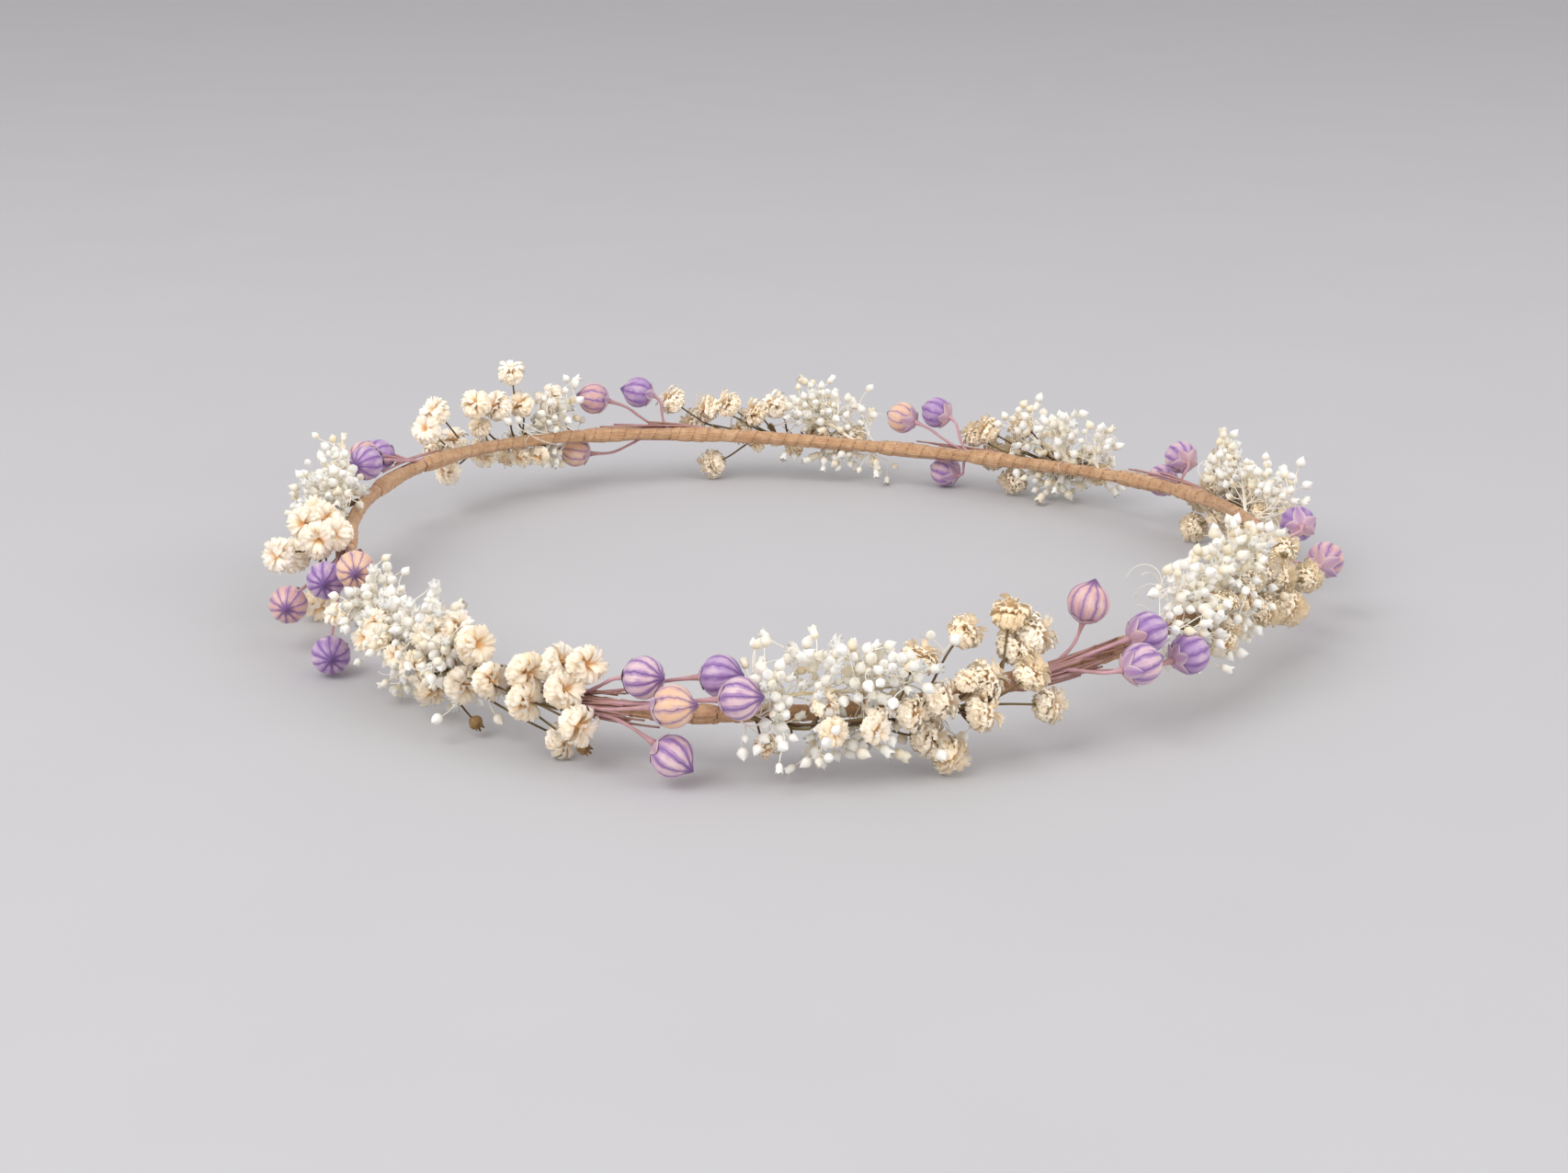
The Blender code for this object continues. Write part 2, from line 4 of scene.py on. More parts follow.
import bmesh
import bpy
import numpy as np
from bpy.props import FloatProperty, FloatVectorProperty, IntProperty, PointerProperty
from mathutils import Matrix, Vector
from mathutils.bvhtree import BVHTree


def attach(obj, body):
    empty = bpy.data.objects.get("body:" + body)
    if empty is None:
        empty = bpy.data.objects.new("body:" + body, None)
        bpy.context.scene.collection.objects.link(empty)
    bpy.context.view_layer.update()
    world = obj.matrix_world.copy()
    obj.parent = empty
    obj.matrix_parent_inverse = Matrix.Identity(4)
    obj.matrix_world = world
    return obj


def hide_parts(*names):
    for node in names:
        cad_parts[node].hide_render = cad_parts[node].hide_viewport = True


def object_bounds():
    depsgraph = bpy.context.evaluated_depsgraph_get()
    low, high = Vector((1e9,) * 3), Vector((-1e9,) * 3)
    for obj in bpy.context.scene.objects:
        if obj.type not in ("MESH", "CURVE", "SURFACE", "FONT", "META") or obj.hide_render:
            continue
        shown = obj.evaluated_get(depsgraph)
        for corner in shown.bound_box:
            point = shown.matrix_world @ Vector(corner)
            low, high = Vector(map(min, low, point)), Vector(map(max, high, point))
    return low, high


bl_info = {
    "name": "Flower crown",
    "version": (1, 0, 0),
    "blender": (4, 5, 0),
    "location": "View3D > Sidebar > Flower crown",
    "description": "Builds the petals, seed cases, buds, stems and tape of a dried flower crown",
    "category": "Add Mesh",
}

MM = 0.001
BODY = "root"
GOLDEN = math.pi * (3 - math.sqrt(5))

# The radii between which the round parts of the CAD's solids lie
BOLL_RADII = (2.5 * MM, 6.0 * MM)
BUD_RADII = (1.0 * MM, 1.9 * MM)
HEAD_RADII = (2.4 * MM, 5.5 * MM)
SEED_RADII = (1.0 * MM, 1.8 * MM)
HEAD_AND_SEED_RADII = (1.0 * MM, 5.5 * MM)

# Points that smooth_line makes for each section of a stem, and how near a cut end lies to the hoop
SPAN_POINTS = 6
CUT_END = 0.8 * MM

# The places of the materials in each kind of piece
HUSK, SEPAL, BOLL_STEM = range(3)
BUD, STALK = range(2)
PETAL, TWIG, LEAF, SEED = range(4)

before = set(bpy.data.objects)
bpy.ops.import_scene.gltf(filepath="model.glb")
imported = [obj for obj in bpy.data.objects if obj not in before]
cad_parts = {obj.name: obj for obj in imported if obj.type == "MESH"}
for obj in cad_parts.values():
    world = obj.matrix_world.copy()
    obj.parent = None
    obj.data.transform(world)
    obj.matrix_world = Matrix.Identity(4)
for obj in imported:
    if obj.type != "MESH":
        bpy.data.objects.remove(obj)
FRAME_BOX = [list(corner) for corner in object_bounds()]


# Colours

def linear(hex_colour):
    """Linear red, green and blue from an sRGB hex value."""
    parts = [int(hex_colour[k:k + 2], 16) / 255 for k in (1, 3, 5)]
    return tuple(c / 12.92 if c <= 0.04045 else ((c + 0.055) / 1.055) ** 2.4 for c in parts)


def opaque(colour):
    return (*colour, 1.0)


def paint(hex_colour):
    return opaque(linear(hex_colour))


# Settings

def length(name, description, default_mm):
    return FloatProperty(name=name, description=description, default=default_mm * MM,
                         min=0.0, unit="LENGTH", precision=5)


def colour(name, description, hex_colour):
    return FloatVectorProperty(name=name, description=description, subtype="COLOR",
                               default=linear(hex_colour), min=0.0, max=1.0)


def share(name, description, default):
    return FloatProperty(name=name, description=description, default=default,
                         min=0.0, max=1.0, subtype="FACTOR")


class StageSettings(bpy.types.PropertyGroup):
    floor_colour: colour("Floor", "Colour of the surface that the crown lies on", "#C6C5C6")
    floor_width: length("Floor width", "Side of the square floor", 6000)
    distance: length("Camera distance", "From the middle of the hoop to the camera", 506)
    elevation: FloatProperty(name="Camera elevation", description="Angle above the floor",
                             default=math.radians(16.7), subtype="ANGLE")
    tilt: FloatProperty(name="Camera tilt", description="How far the view points below the hoop",
                        default=math.radians(1.12), subtype="ANGLE")
    turn: FloatProperty(name="Camera turn", description="How far the view points left of the hoop",
                        default=math.radians(0.33), subtype="ANGLE")
    lens: FloatProperty(name="Lens", description="Focal length on a 36 mm wide sensor, in millimetres",
                        default=54.2)
    key_power: FloatProperty(name="Key light", description="Power of the large soft light, in watts",
                             default=13.0)
    fill_power: FloatProperty(name="Fill light", description="Power of the second soft light, in watts",
                              default=8.0)
    room_light: FloatProperty(name="Room light", description="Strength of the pale room around",
                              default=0.75)


class TapeSettings(bpy.types.PropertyGroup):
    thin: length("Thin radius", "Radius of the tape where it covers the wire alone", 1.28)
    thick: length("Thick radius", "Radius of the tape where it covers the cut stems", 1.7)
    pitch: length("Winding pitch", "How far the tape moves along the hoop in one turn", 3.8)
    step: length("Edge step", "Height of the tape's edge over the turn below", 0.2)
    crease: length("Crease depth", "Depth of the creases of the stretched paper", 0.08)
    body: colour("Paper", "Colour of the tape", "#CC9C72")
    # This darker paper colour paints the shade under each turn's edge, and also the random specks of the
    # grain
    worn: colour("Paper shade", "Colour in the creases and under the edges", "#94613C")


class BollSettings(bpy.types.PropertyGroup):
    rib_depth: share("Rib depth", "Depth of the seams as a share of the radius", 0.045)
    beak: FloatProperty(name="Beak", description="Reach of the point as a multiple of the radius",
                        default=1.22)
    stem: length("Stem", "Diameter of a boll's stem", 0.66)
    loose_stems: IntProperty(name="Loose stems", description="Cut stems laid beside each boll's own",
                             default=4, min=0, max=10)
    lilac: colour("Lilac", "Dyed husk", "#DDBBC6")
    violet: colour("Violet", "Deeper dyed husk", "#B99AC4")
    peach: colour("Peach", "Husk that took little dye", "#F1C49E")
    rose: colour("Rose", "Faded husk", "#DFB0A6")
    dye: colour("Dye", "Dye that has spread from the seams", "#9C76B2")
    vein: colour("Vein", "Dye gathered in the seams", "#6A4488")
    stem_colour: colour("Stem colour", "Dried and dyed stem", "#D2A3AE")


class SprigSettings(bpy.types.PropertyGroup):
    bud_length: length("Bud length", "From a bud's stalk to its free end", 2.6)
    bud_width: length("Bud width", "Widest part of a bud", 2.05)
    stem: length("Stem", "Diameter of a bud's stalk", 0.3)
    buds: IntProperty(name="Buds", description="Buds for each branch of a sprig",
                      default=13, min=1, max=20)
    curls: IntProperty(name="Curls", description="Stalks of each branch that have lost their bud",
                       default=3, min=0, max=20)
    white: colour("Bleached", "Bleached plant", "#FDFAF2")
    cream: colour("Unbleached", "Where the bleach took less", "#F3E3BE")


class GypsophilaSettings(bpy.types.PropertyGroup):
    petals: IntProperty(name="Petals", description="Petals in each flower", default=84, min=5, max=120)
    petal_width: share("Petal width", "Width of a petal as a share of the flower's radius", 0.56)
    bloom: FloatProperty(name="Bloom", description="Size of a flower against its CAD ball", default=1.1)
    small_heads: IntProperty(name="Small flowers", description="Half-grown flowers low on each sprig",
                             default=6, min=0, max=20)
    stalk: length("Stalk", "Diameter of each strand of a main stalk", 0.52)
    stem: length("Stem", "Diameter of a flower's stem", 0.5)
    petal: colour("Petal", "Dried petal", "#FFF8EB")
    heart: colour("Heart", "Petal bases and the middle of the flower", "#E5B878")
    olive: colour("Stem colour", "Dried stem", "#84764A")
    brown: colour("Withered", "Withered stems and leaves", "#62462F")
    seed: colour("Seed head", "Ripe seed head", "#A8834F")


class CrownSettings(bpy.types.PropertyGroup):
    stage: PointerProperty(type=StageSettings)
    tape: PointerProperty(type=TapeSettings)
    boll: PointerProperty(type=BollSettings)
    sprig: PointerProperty(type=SprigSettings)
    gypsophila: PointerProperty(type=GypsophilaSettings)


# Materials

def connect(tree, made, inputs):
    """Set a node's inputs: each takes a value, a socket, or a node's first output in use."""
    for name, value in inputs.items():
        if isinstance(value, bpy.types.Node):
            value = next(out for out in value.outputs if out.enabled)
        if isinstance(value, bpy.types.NodeSocket):
            tree.links.new(value, made.inputs[name])
        else:
            made.inputs[name].default_value = value


def add_node(tree, kind, inputs=None, **settings):
    made = tree.nodes.new("ShaderNode" + kind)
    for name, value in settings.items():
        setattr(made, name, value)
    connect(tree, made, inputs or {})
    return made


def new_material(name, constants):
    """A material, its node tree and its shader, with the values that are the same all over."""
    made = bpy.data.materials.new(name)
    made.use_nodes = True
    shader = made.node_tree.nodes["Principled BSDF"]
    connect(made.node_tree, shader, constants)
    return made, made.node_tree, shader


def lacquered_wire():
    """Florist's steel wire in green lacquer: smooth, with a dull gloss."""
    made, tree, shader = new_material("Lacquered steel wire", {"Roughness": 0.38, "Coat Weight": 0.3})
    place = add_node(tree, "TexCoord").outputs["Object"]
    # Lacquer varies over about 3 mm and is pitted at 0.5 mm
    tone = add_node(tree, "TexNoise", {"Vector": place, "Scale": 1 / (3 * MM)})
    pits = add_node(tree, "TexNoise", {"Vector": place, "Scale": 1 / (0.5 * MM)})
    shade = add_node(tree, "Mix", {0: tone, 6: paint("#39492F"), 7: paint("#4B5A3C")}, data_type="RGBA")
    relief = add_node(tree, "Bump", {"Height": pits, "Distance": 0.03 * MM, "Strength": 0.4})
    connect(tree, shader, {"Base Color": shade, "Normal": relief})
    return made


def crepe_paper(settings):
    """Waxed crepe paper, stretched as it is wound: matt and creased, with painted shade under each edge.
    """
    made, tree, shader = new_material("Waxed crepe paper", {
        "Roughness": 0.8, "Sheen Weight": 0.25, "Sheen Roughness": 0.5})
    place = add_node(tree, "TexCoord").outputs["Object"]
    form = add_node(tree, "Attribute", attribute_name="form").outputs["Vector"]
    _, roll, overlap = add_node(tree, "SeparateXYZ", {"Vector": form}).outputs
    # Patches of wax are about 2 mm wide, and the paper's grain about 0.4 mm
    patches = add_node(tree, "TexNoise", {"Vector": place, "Scale": 1 / (2 * MM), "Detail": 3})
    grain = add_node(tree, "TexNoise", {"Vector": place, "Scale": 1 / (0.4 * MM), "Detail": 4})
    waxed = add_node(tree, "MapRange", {"Value": patches, "From Min": 0.35, "From Max": 0.68})
    tone = add_node(tree, "Mix", {0: waxed, 6: opaque(settings.body), 7: paint("#E2B98E")},
                    data_type="RGBA")
    # Painted shade: where the overlap share is under 0.2, at the step under each turn's edge, the paper
    # is darkened towards the paper shade colour
    edge = add_node(tree, "MapRange", {
        "Value": overlap, "From Min": 0.2, "From Max": 0.0, "To Max": 0.8},
        interpolation_type="SMOOTHSTEP")
    worn = add_node(tree, "MapRange", {
        "Value": grain, "From Min": 0.52, "From Max": 0.75, "To Max": 0.5})
    # The darker colour goes on as painted shade at the edges and as the grain's random specks
    for amount in (edge, worn):
        tone = add_node(tree, "Mix", {0: amount, 6: tone, 7: opaque(settings.worn)}, data_type="RGBA")
    # Crepe has a crease about every 0.25 mm; they run along the hoop
    lines = add_node(tree, "Math", {0: roll, 1: 34 * math.tau}, operation="MULTIPLY")
    bend = add_node(tree, "Math", {0: patches, 1: 9.0, 2: lines}, operation="MULTIPLY_ADD")
    ridges = add_node(tree, "Math", {0: bend}, operation="SINE")
    height = add_node(tree, "Math", {0: ridges, 1: 0.5, 2: grain}, operation="MULTIPLY_ADD")
    relief = add_node(tree, "Bump", {"Height": height, "Distance": 0.12 * MM, "Strength": 0.7})
    connect(tree, shader, {"Base Color": tone, "Normal": relief})
    return made


def dyed_husk(name, body, dyed, settings):
    """A flax seed case: a dry papery shell in which the dye has run to its ten seams."""
    made, tree, shader = new_material(name, {
        "Roughness": 0.5, "Sheen Weight": 0.35, "Sheen Roughness": 0.4, "Subsurface Weight": 0.08,
        "Subsurface Radius": (1.0 * MM, 0.6 * MM, 0.8 * MM)})
    form = add_node(tree, "Attribute", attribute_name="form").outputs["Vector"]
    across, side, axial = add_node(tree, "SeparateXYZ", {"Vector": form}).outputs
    azimuth = add_node(tree, "Math", {0: side, 1: across}, operation="ARCTAN2")
    wander = add_node(tree, "TexNoise", {"Vector": form, "Scale": 2.4, "Detail": 2})
    sway = add_node(tree, "Math", {0: wander, 1: 0.34, 2: azimuth}, operation="MULTIPLY_ADD")
    panels = add_node(tree, "Math", {0: sway, 1: 10 / math.tau}, operation="MULTIPLY")
    to_seam = add_node(tree, "Math", {0: panels, 1: 0.5}, operation="PINGPONG")
    # Fibres run from the base to the point, about five to a panel
    ring = add_node(tree, "CombineXYZ", {"X": across, "Y": side})
    ring = add_node(tree, "VectorMath", {0: ring}, operation="NORMALIZE")
    rise = add_node(tree, "CombineXYZ", {"Z": axial})
    spread = add_node(tree, "VectorMath", {0: ring, 1: (9, 9, 9), 2: rise}, operation="MULTIPLY_ADD")
    fibres = add_node(tree, "TexNoise", {"Vector": spread, "Scale": 1.0, "Detail": 3})
    # The dye has run along them from the seam, by up to half of a panel
    reach = add_node(tree, "Math", {0: fibres, 1: -0.7, 2: to_seam}, operation="MULTIPLY_ADD")
    dye = add_node(tree, "MapRange", {
        "Value": reach, "From Min": 0.05, "From Max": -0.26, "To Max": dyed},
        interpolation_type="SMOOTHSTEP")
    patches = add_node(tree, "TexNoise", {"Vector": form, "Scale": 1.6, "Detail": 2})
    pale = add_node(tree, "MapRange", {
        "Value": patches, "From Min": 0.4, "From Max": 0.7, "To Max": 0.45})
    # The seams reach about 0.2 mm to each side and run together at both ends
    closeness = add_node(tree, "Math", {0: axial, 1: axial}, operation="MULTIPLY")
    closeness = add_node(tree, "Math", {0: closeness, 1: 3.0}, operation="POWER")
    width = add_node(tree, "Math", {0: closeness, 1: 0.2, 2: 0.09}, operation="MULTIPLY_ADD")
    seam = add_node(tree, "MapRange", {
        "Value": to_seam, "From Min": width, "From Max": 0.0, "To Max": 0.75},
        interpolation_type="SMOOTHSTEP")
    tip = add_node(tree, "MapRange", {
        "Value": axial, "From Min": 0.87, "From Max": 0.99, "To Max": 0.9})
    foot = add_node(tree, "MapRange", {
        "Value": axial, "From Min": -0.1, "From Max": -0.95, "To Max": 0.85 * dyed})
    tone = opaque(body)
    dyes = ((pale, paint("#F3DCD2")), (dye, opaque(settings.dye)), (seam, opaque(settings.vein)),
            (tip, opaque(settings.vein)), (foot, opaque(settings.dye)))
    for amount, coat in dyes:
        tone = add_node(tree, "Mix", {0: amount, 6: tone, 7: coat}, data_type="RGBA")
    height = add_node(tree, "Math", {0: seam, 1: -0.6, 2: fibres}, operation="MULTIPLY_ADD")
    relief = add_node(tree, "Bump", {"Height": height, "Distance": 0.12 * MM, "Strength": 0.6})
    connect(tree, shader, {"Base Color": tone, "Normal": relief})
    return made


def dry_sepal(settings):
    """A flax sepal: a thin papery scale with a dyed middle and a pale rim."""
    made, tree, shader = new_material("Dry flax sepal", {"Roughness": 0.6, "Sheen Weight": 0.3})
    place = add_node(tree, "TexCoord").outputs["Object"]
    form = add_node(tree, "Attribute", attribute_name="form").outputs["Vector"]
    along, across, chance = add_node(tree, "SeparateXYZ", {"Vector": form}).outputs
    rim = add_node(tree, "Math", {0: across, 1: across}, operation="MULTIPLY")
    faded = add_node(tree, "Math", {0: chance, 1: 0.5}, operation="MULTIPLY")
    tone = paint("#C39BBE")
    for amount, coat in (
            (along, opaque(settings.dye)), (rim, paint("#E6CFD2")), (faded, paint("#D8B093"))):
        tone = add_node(tree, "Mix", {0: amount, 6: tone, 7: coat}, data_type="RGBA")
    # Five ribs run along the scale
    ribs = add_node(tree, "Math", {0: across, 1: 16.0}, operation="MULTIPLY")
    ribs = add_node(tree, "Math", {0: ribs}, operation="SINE")
    grain = add_node(tree, "TexNoise", {"Vector": place, "Scale": 1 / (0.4 * MM)})
    height = add_node(tree, "Math", {0: ribs, 1: 0.4, 2: grain}, operation="MULTIPLY_ADD")
    relief = add_node(tree, "Bump", {"Height": height, "Distance": 0.06 * MM, "Strength": 0.6})
    connect(tree, shader, {"Base Color": tone, "Normal": relief})
    return made


def dry_plant(name, first, second, grain_mm):
    """Dried stem or leaf: each differs between two tones, with darker patches and fine furrows."""
    made, tree, shader = new_material(name, {"Roughness": 0.64})
    place = add_node(tree, "TexCoord").outputs["Object"]
    form = add_node(tree, "Attribute", attribute_name="form").outputs["Vector"]
    chance = add_node(tree, "SeparateXYZ", {"Vector": form}).outputs["Z"]
    patches = add_node(tree, "TexNoise", {"Vector": place, "Scale": 1 / (grain_mm * MM), "Detail": 3})
    shift = add_node(tree, "Math", {0: patches, 1: 1.4, 2: -0.7}, operation="MULTIPLY_ADD")
    blend = add_node(tree, "Math", {0: chance, 1: shift}, operation="ADD", use_clamp=True)
    tone = add_node(tree, "Mix", {0: blend, 6: opaque(first), 7: opaque(second)}, data_type="RGBA")
    furrows = add_node(tree, "TexNoise", {"Vector": place, "Scale": 1 / (0.25 * MM)})
    relief = add_node(tree, "Bump", {"Height": furrows, "Distance": 0.05 * MM, "Strength": 0.6})
    connect(tree, shader, {"Base Color": tone, "Normal": relief})
    return made


def bleached_bud(settings):
    """A bleached bud: a chalky skin, faintly see-through, creamier where it meets its stalk."""
    made, tree, shader = new_material("Bleached bud", {
        "Roughness": 0.58, "Sheen Weight": 0.3, "Subsurface Weight": 0.2,
        "Subsurface Radius": (1.2 * MM, 1.0 * MM, 0.8 * MM)})
    place = add_node(tree, "TexCoord").outputs["Object"]
    form = add_node(tree, "Attribute", attribute_name="form").outputs["Vector"]
    along, _, chance = add_node(tree, "SeparateXYZ", {"Vector": form}).outputs
    foot = add_node(tree, "MapRange", {
        "Value": along, "From Min": 0.4, "From Max": 0.0, "To Max": 0.7})
    blend = add_node(tree, "Math", {0: foot, 1: chance}, operation="ADD", use_clamp=True)
    tone = add_node(tree, "Mix", {0: blend, 6: opaque(settings.white), 7: opaque(settings.cream)},
                    data_type="RGBA")
    skin = add_node(tree, "TexNoise", {"Vector": place, "Scale": 1 / (0.5 * MM)})
    relief = add_node(tree, "Bump", {"Height": skin, "Distance": 0.07 * MM, "Strength": 0.6})
    connect(tree, shader, {"Base Color": tone, "Normal": relief})
    return made


def dry_petal(settings):
    """A dried gypsophila petal: thin and crinkled, cream with an amber base."""
    made, tree, shader = new_material("Dried petal", {
        "Roughness": 0.66, "Sheen Weight": 0.3, "Subsurface Weight": 0.6,
        "Subsurface Radius": (2.0 * MM, 1.7 * MM, 1.3 * MM), "Subsurface Scale": 1.0})
    shader.subsurface_method = "BURLEY"
    place = add_node(tree, "TexCoord").outputs["Object"]
    form = add_node(tree, "Attribute", attribute_name="form").outputs["Vector"]
    along, across, chance = add_node(tree, "SeparateXYZ", {"Vector": form}).outputs
    base = add_node(tree, "MapRange", {
        "Value": along, "From Min": 0.56, "From Max": 0.12, "To Max": 0.8},
        interpolation_type="SMOOTHSTEP")
    # Withered spots are about 1 mm wide
    spots = add_node(tree, "TexNoise", {"Vector": place, "Scale": 1 / (1.0 * MM), "Detail": 3})
    spots = add_node(tree, "MapRange", {
        "Value": spots, "From Min": 0.58, "From Max": 0.75, "To Max": 0.2})
    tone = opaque(settings.petal)
    for amount, coat in (
            (chance, paint("#F4DDB0")), (base, opaque(settings.heart)), (spots, paint("#DDB57C"))):
        tone = add_node(tree, "Mix", {0: amount, 6: tone, 7: coat}, data_type="RGBA")
    veins = add_node(tree, "Math", {0: across, 1: 14.0}, operation="MULTIPLY")
    veins = add_node(tree, "Math", {0: veins}, operation="SINE")
    grain = add_node(tree, "TexNoise", {"Vector": place, "Scale": 1 / (0.4 * MM)})
    height = add_node(tree, "Math", {0: veins, 1: 0.3, 2: grain}, operation="MULTIPLY_ADD")
    relief = add_node(tree, "Bump", {"Height": height, "Distance": 0.06 * MM, "Strength": 0.4})
    connect(tree, shader, {"Base Color": tone, "Normal": relief})
    return made


def dull_floor(settings):
    """A painted board: pale and matt, with brush marks too faint to draw the eye."""
    made, tree, shader = new_material("Pale painted board", {"Roughness": 0.75})
    place = add_node(tree, "TexCoord").outputs["Object"]
    marks = add_node(tree, "TexNoise", {"Vector": place, "Scale": 1 / (60 * MM), "Detail": 3})
    darker = opaque([c * 0.95 for c in settings.floor_colour])
    tone = add_node(tree, "Mix", {0: marks, 6: opaque(settings.floor_colour), 7: darker},
                    data_type="RGBA")
    connect(tree, shader, {"Base Color": tone})
    return made


# Reading the frame

def unit(vectors):
    vectors = np.asarray(vectors, float)
    return vectors / np.maximum(np.linalg.norm(vectors, axis=-1, keepdims=True), 1e-12)


def near_turn(angle, zero=0):
    """The same angle, in degrees, within half a turn of another."""
    return zero + (angle - zero + 180) % 360 - 180


def nodes_named(word):
    return sorted(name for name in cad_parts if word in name)


def solid(node):
    """Points and triangles of a CAD node, with the corners of neighbouring faces joined."""
    mesh = bmesh.new()
    mesh.from_mesh(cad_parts[node].data)
    bmesh.ops.remove_doubles(mesh, verts=mesh.verts, dist=1e-6)
    bmesh.ops.triangulate(mesh, faces=mesh.faces)
    points = np.array([v.co[:] for v in mesh.verts])
    faces = np.array([[v.index for v in f.verts] for f in mesh.faces])
    mesh.free()
    return points, faces


def bands(node):
    """The sections of a tape's solid in order round the hoop: angle, centre and outer radius."""
    points, _ = solid(node)
    angles = np.degrees(np.arctan2(points[:, 1], points[:, 0]))
    middle = points.mean(axis=0)
    zero = math.degrees(math.atan2(middle[1], middle[0]))
    angles = near_turn(angles, zero)
    order = np.argsort(angles)
    breaks = np.flatnonzero(np.diff(angles[order]) > 0.2) + 1
    found = []
    for group in np.split(order, breaks):
        centre = points[group].mean(axis=0)
        radius = np.linalg.norm(points[group] - centre, axis=1).max()
        found.append((float(angles[group].mean()), centre, float(radius)))
    return found


class Hoop:
    """The hoop's own line, fitted to the middles of the tape's sections."""

    WAVES = 4

    def __init__(self):
        centres = np.array([centre for node in nodes_named("tape") for _, centre, _ in bands(node)])
        table = self.terms(np.arctan2(centres[:, 1], centres[:, 0]))
        self.radius = np.linalg.lstsq(table, np.hypot(centres[:, 0], centres[:, 1]), rcond=None)[0]
        self.height = np.linalg.lstsq(table, centres[:, 2], rcond=None)[0]

    def terms(self, turns):
        steps = np.atleast_1d(turns)[:, None] * np.arange(1, self.WAVES + 1)
        return np.hstack([np.ones((len(steps), 1)), np.cos(steps), np.sin(steps)])

    def points(self, degrees):
        turns = np.radians(np.atleast_1d(degrees))
        table = self.terms(turns)
        radius = table @ self.radius
        return np.stack([radius * np.cos(turns), radius * np.sin(turns), table @ self.height], axis=1)

    def axes(self, degrees):
        """Along, outward and up at each angle."""
        degrees = np.atleast_1d(degrees)
        along = unit(self.points(degrees + 0.01) - self.points(degrees - 0.01))
        outward = unit(np.cross(along, [0.0, 0.0, 1.0]))
        return along, outward, np.cross(outward, along)

    def beside(self, point):
        """Where a point lies: its angle, and its distances outward and up from the hoop."""
        angle = math.degrees(math.atan2(point[1], point[0]))
        for _ in range(3):
            along, outward, upward = (a[0] for a in self.axes(angle))
            offset = point - self.points(angle)[0]
            angle += math.degrees(offset @ along / self.radius[0])
        return angle, float(offset @ outward), float(offset @ upward)

    def drawn_in(self, point, radius):
        """The point moved towards the hoop's line, to a radius from it."""
        middle = self.points(self.beside(point)[0])[0]
        return middle + unit(point - middle) * radius


def corner_turns(points, faces):
    """Each triangle's angle at each of its corners, corner by corner."""
    turns = []
    for k in range(3):
        here, after, before = (points[faces[:, (k + j) % 3]] for j in range(3))
        turns.append(np.arccos(np.clip((unit(after - here) * unit(before - here)).sum(axis=1), -1, 1)))
    return turns


def balls(points, faces, least, most):
    """Centres and radii of a solid's round parts, from neighbouring faces that lie on one sphere."""
    owner = {}
    votes = []
    for number, face in enumerate(faces):
        for k in range(3):
            edge = frozenset((int(face[k]), int(face[(k + 1) % 3])))
            if edge in owner:
                votes.append(ball_through(points, faces[owner[edge]], face, least, most))
            owner[edge] = number
    votes = np.array([vote for vote in votes if vote is not None])
    found = []
    while len(votes):
        near = np.linalg.norm(votes[:, :3] - votes[0, :3], axis=1) < 0.06 * MM
        if near.sum() >= 6:
            found.append(votes[near].mean(axis=0))
        votes = votes[~near]
    return [(ball[:3], float(ball[3])) for ball in found]


def ball_through(points, first, second, least, most):
    """The sphere through two triangles, unless they are too flat or too close to its middle."""
    corners = points[sorted(set(first) | set(second))]
    if len(corners) != 4:
        return None
    sides = (corners[1:] - corners[0]) / MM
    if abs(np.linalg.det(sides)) < 0.01:
        return None
    offset = np.linalg.solve(2 * sides, (sides ** 2).sum(axis=1)) * MM
    radius = np.linalg.norm(offset)
    if not least <= radius <= most:
        return None
    centre = corners[0] + offset
    for face in (first, second):
        a, b, c = points[face]
        if abs(unit(np.cross(b - a, c - a)) @ (a - centre)) < 0.5 * radius:
            return None
    return (*centre, radius)


def stalk_line(points, faces, hoop, radius):
    """The middle line of a sprig's main stalk, from the centres of its round sections."""
    normals = np.zeros_like(points)
    a, b, c = (points[faces[:, k]] for k in range(3))
    flat = unit(np.cross(b - a, c - a))
    for k, turns in enumerate(corner_turns(points, faces)):
        np.add.at(normals, faces[:, k], flat * turns[:, None])
    guesses = points - unit(normals) * radius
    centres = []
    while len(guesses):
        near = np.linalg.norm(guesses - guesses[0], axis=1) < 0.1 * MM
        if near.sum() >= 4:
            centres.append(guesses[near].mean(axis=0))
        guesses = guesses[~near]
    zero = hoop.beside(points.mean(axis=0))[0]
    angles = [near_turn(hoop.beside(centre)[0], zero) for centre in centres]
    return np.array([centres[k] for k in np.argsort(angles)])


def rings_from_point(points, faces):
    """The middles of a boll's and its stem's sections, from the point to the stem's cut end."""
    turn_sum = np.zeros(len(points))
    for k, turns in enumerate(corner_turns(points, faces)):
        np.add.at(turn_sum, faces[:, k], turns)
    links = [set() for _ in points]
    for face in faces:
        for k in range(3):
            links[face[k]].update((int(face[(k + 1) % 3]), int(face[(k + 2) % 3])))
    ring = {int(np.argmin(turn_sum))}
    seen = set()
    rings = []
    while ring:
        rings.append(points[sorted(ring)].mean(axis=0))
        seen |= ring
        ring = {other for one in ring for other in links[one]} - seen
    return np.array(rings)


def others_tree(own):
    """The solids of the other bolls and sprigs, for keeping clear of them."""
    points = []
    faces = []
    for name in sorted(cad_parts):
        if name not in (own, "hoop_wire") and "tape" not in name:
            some, shape = solid(name)
            faces.extend((shape + len(points)).tolist())
            points.extend(some.tolist())
    return BVHTree.FromPolygons(points, faces)


# Making surfaces

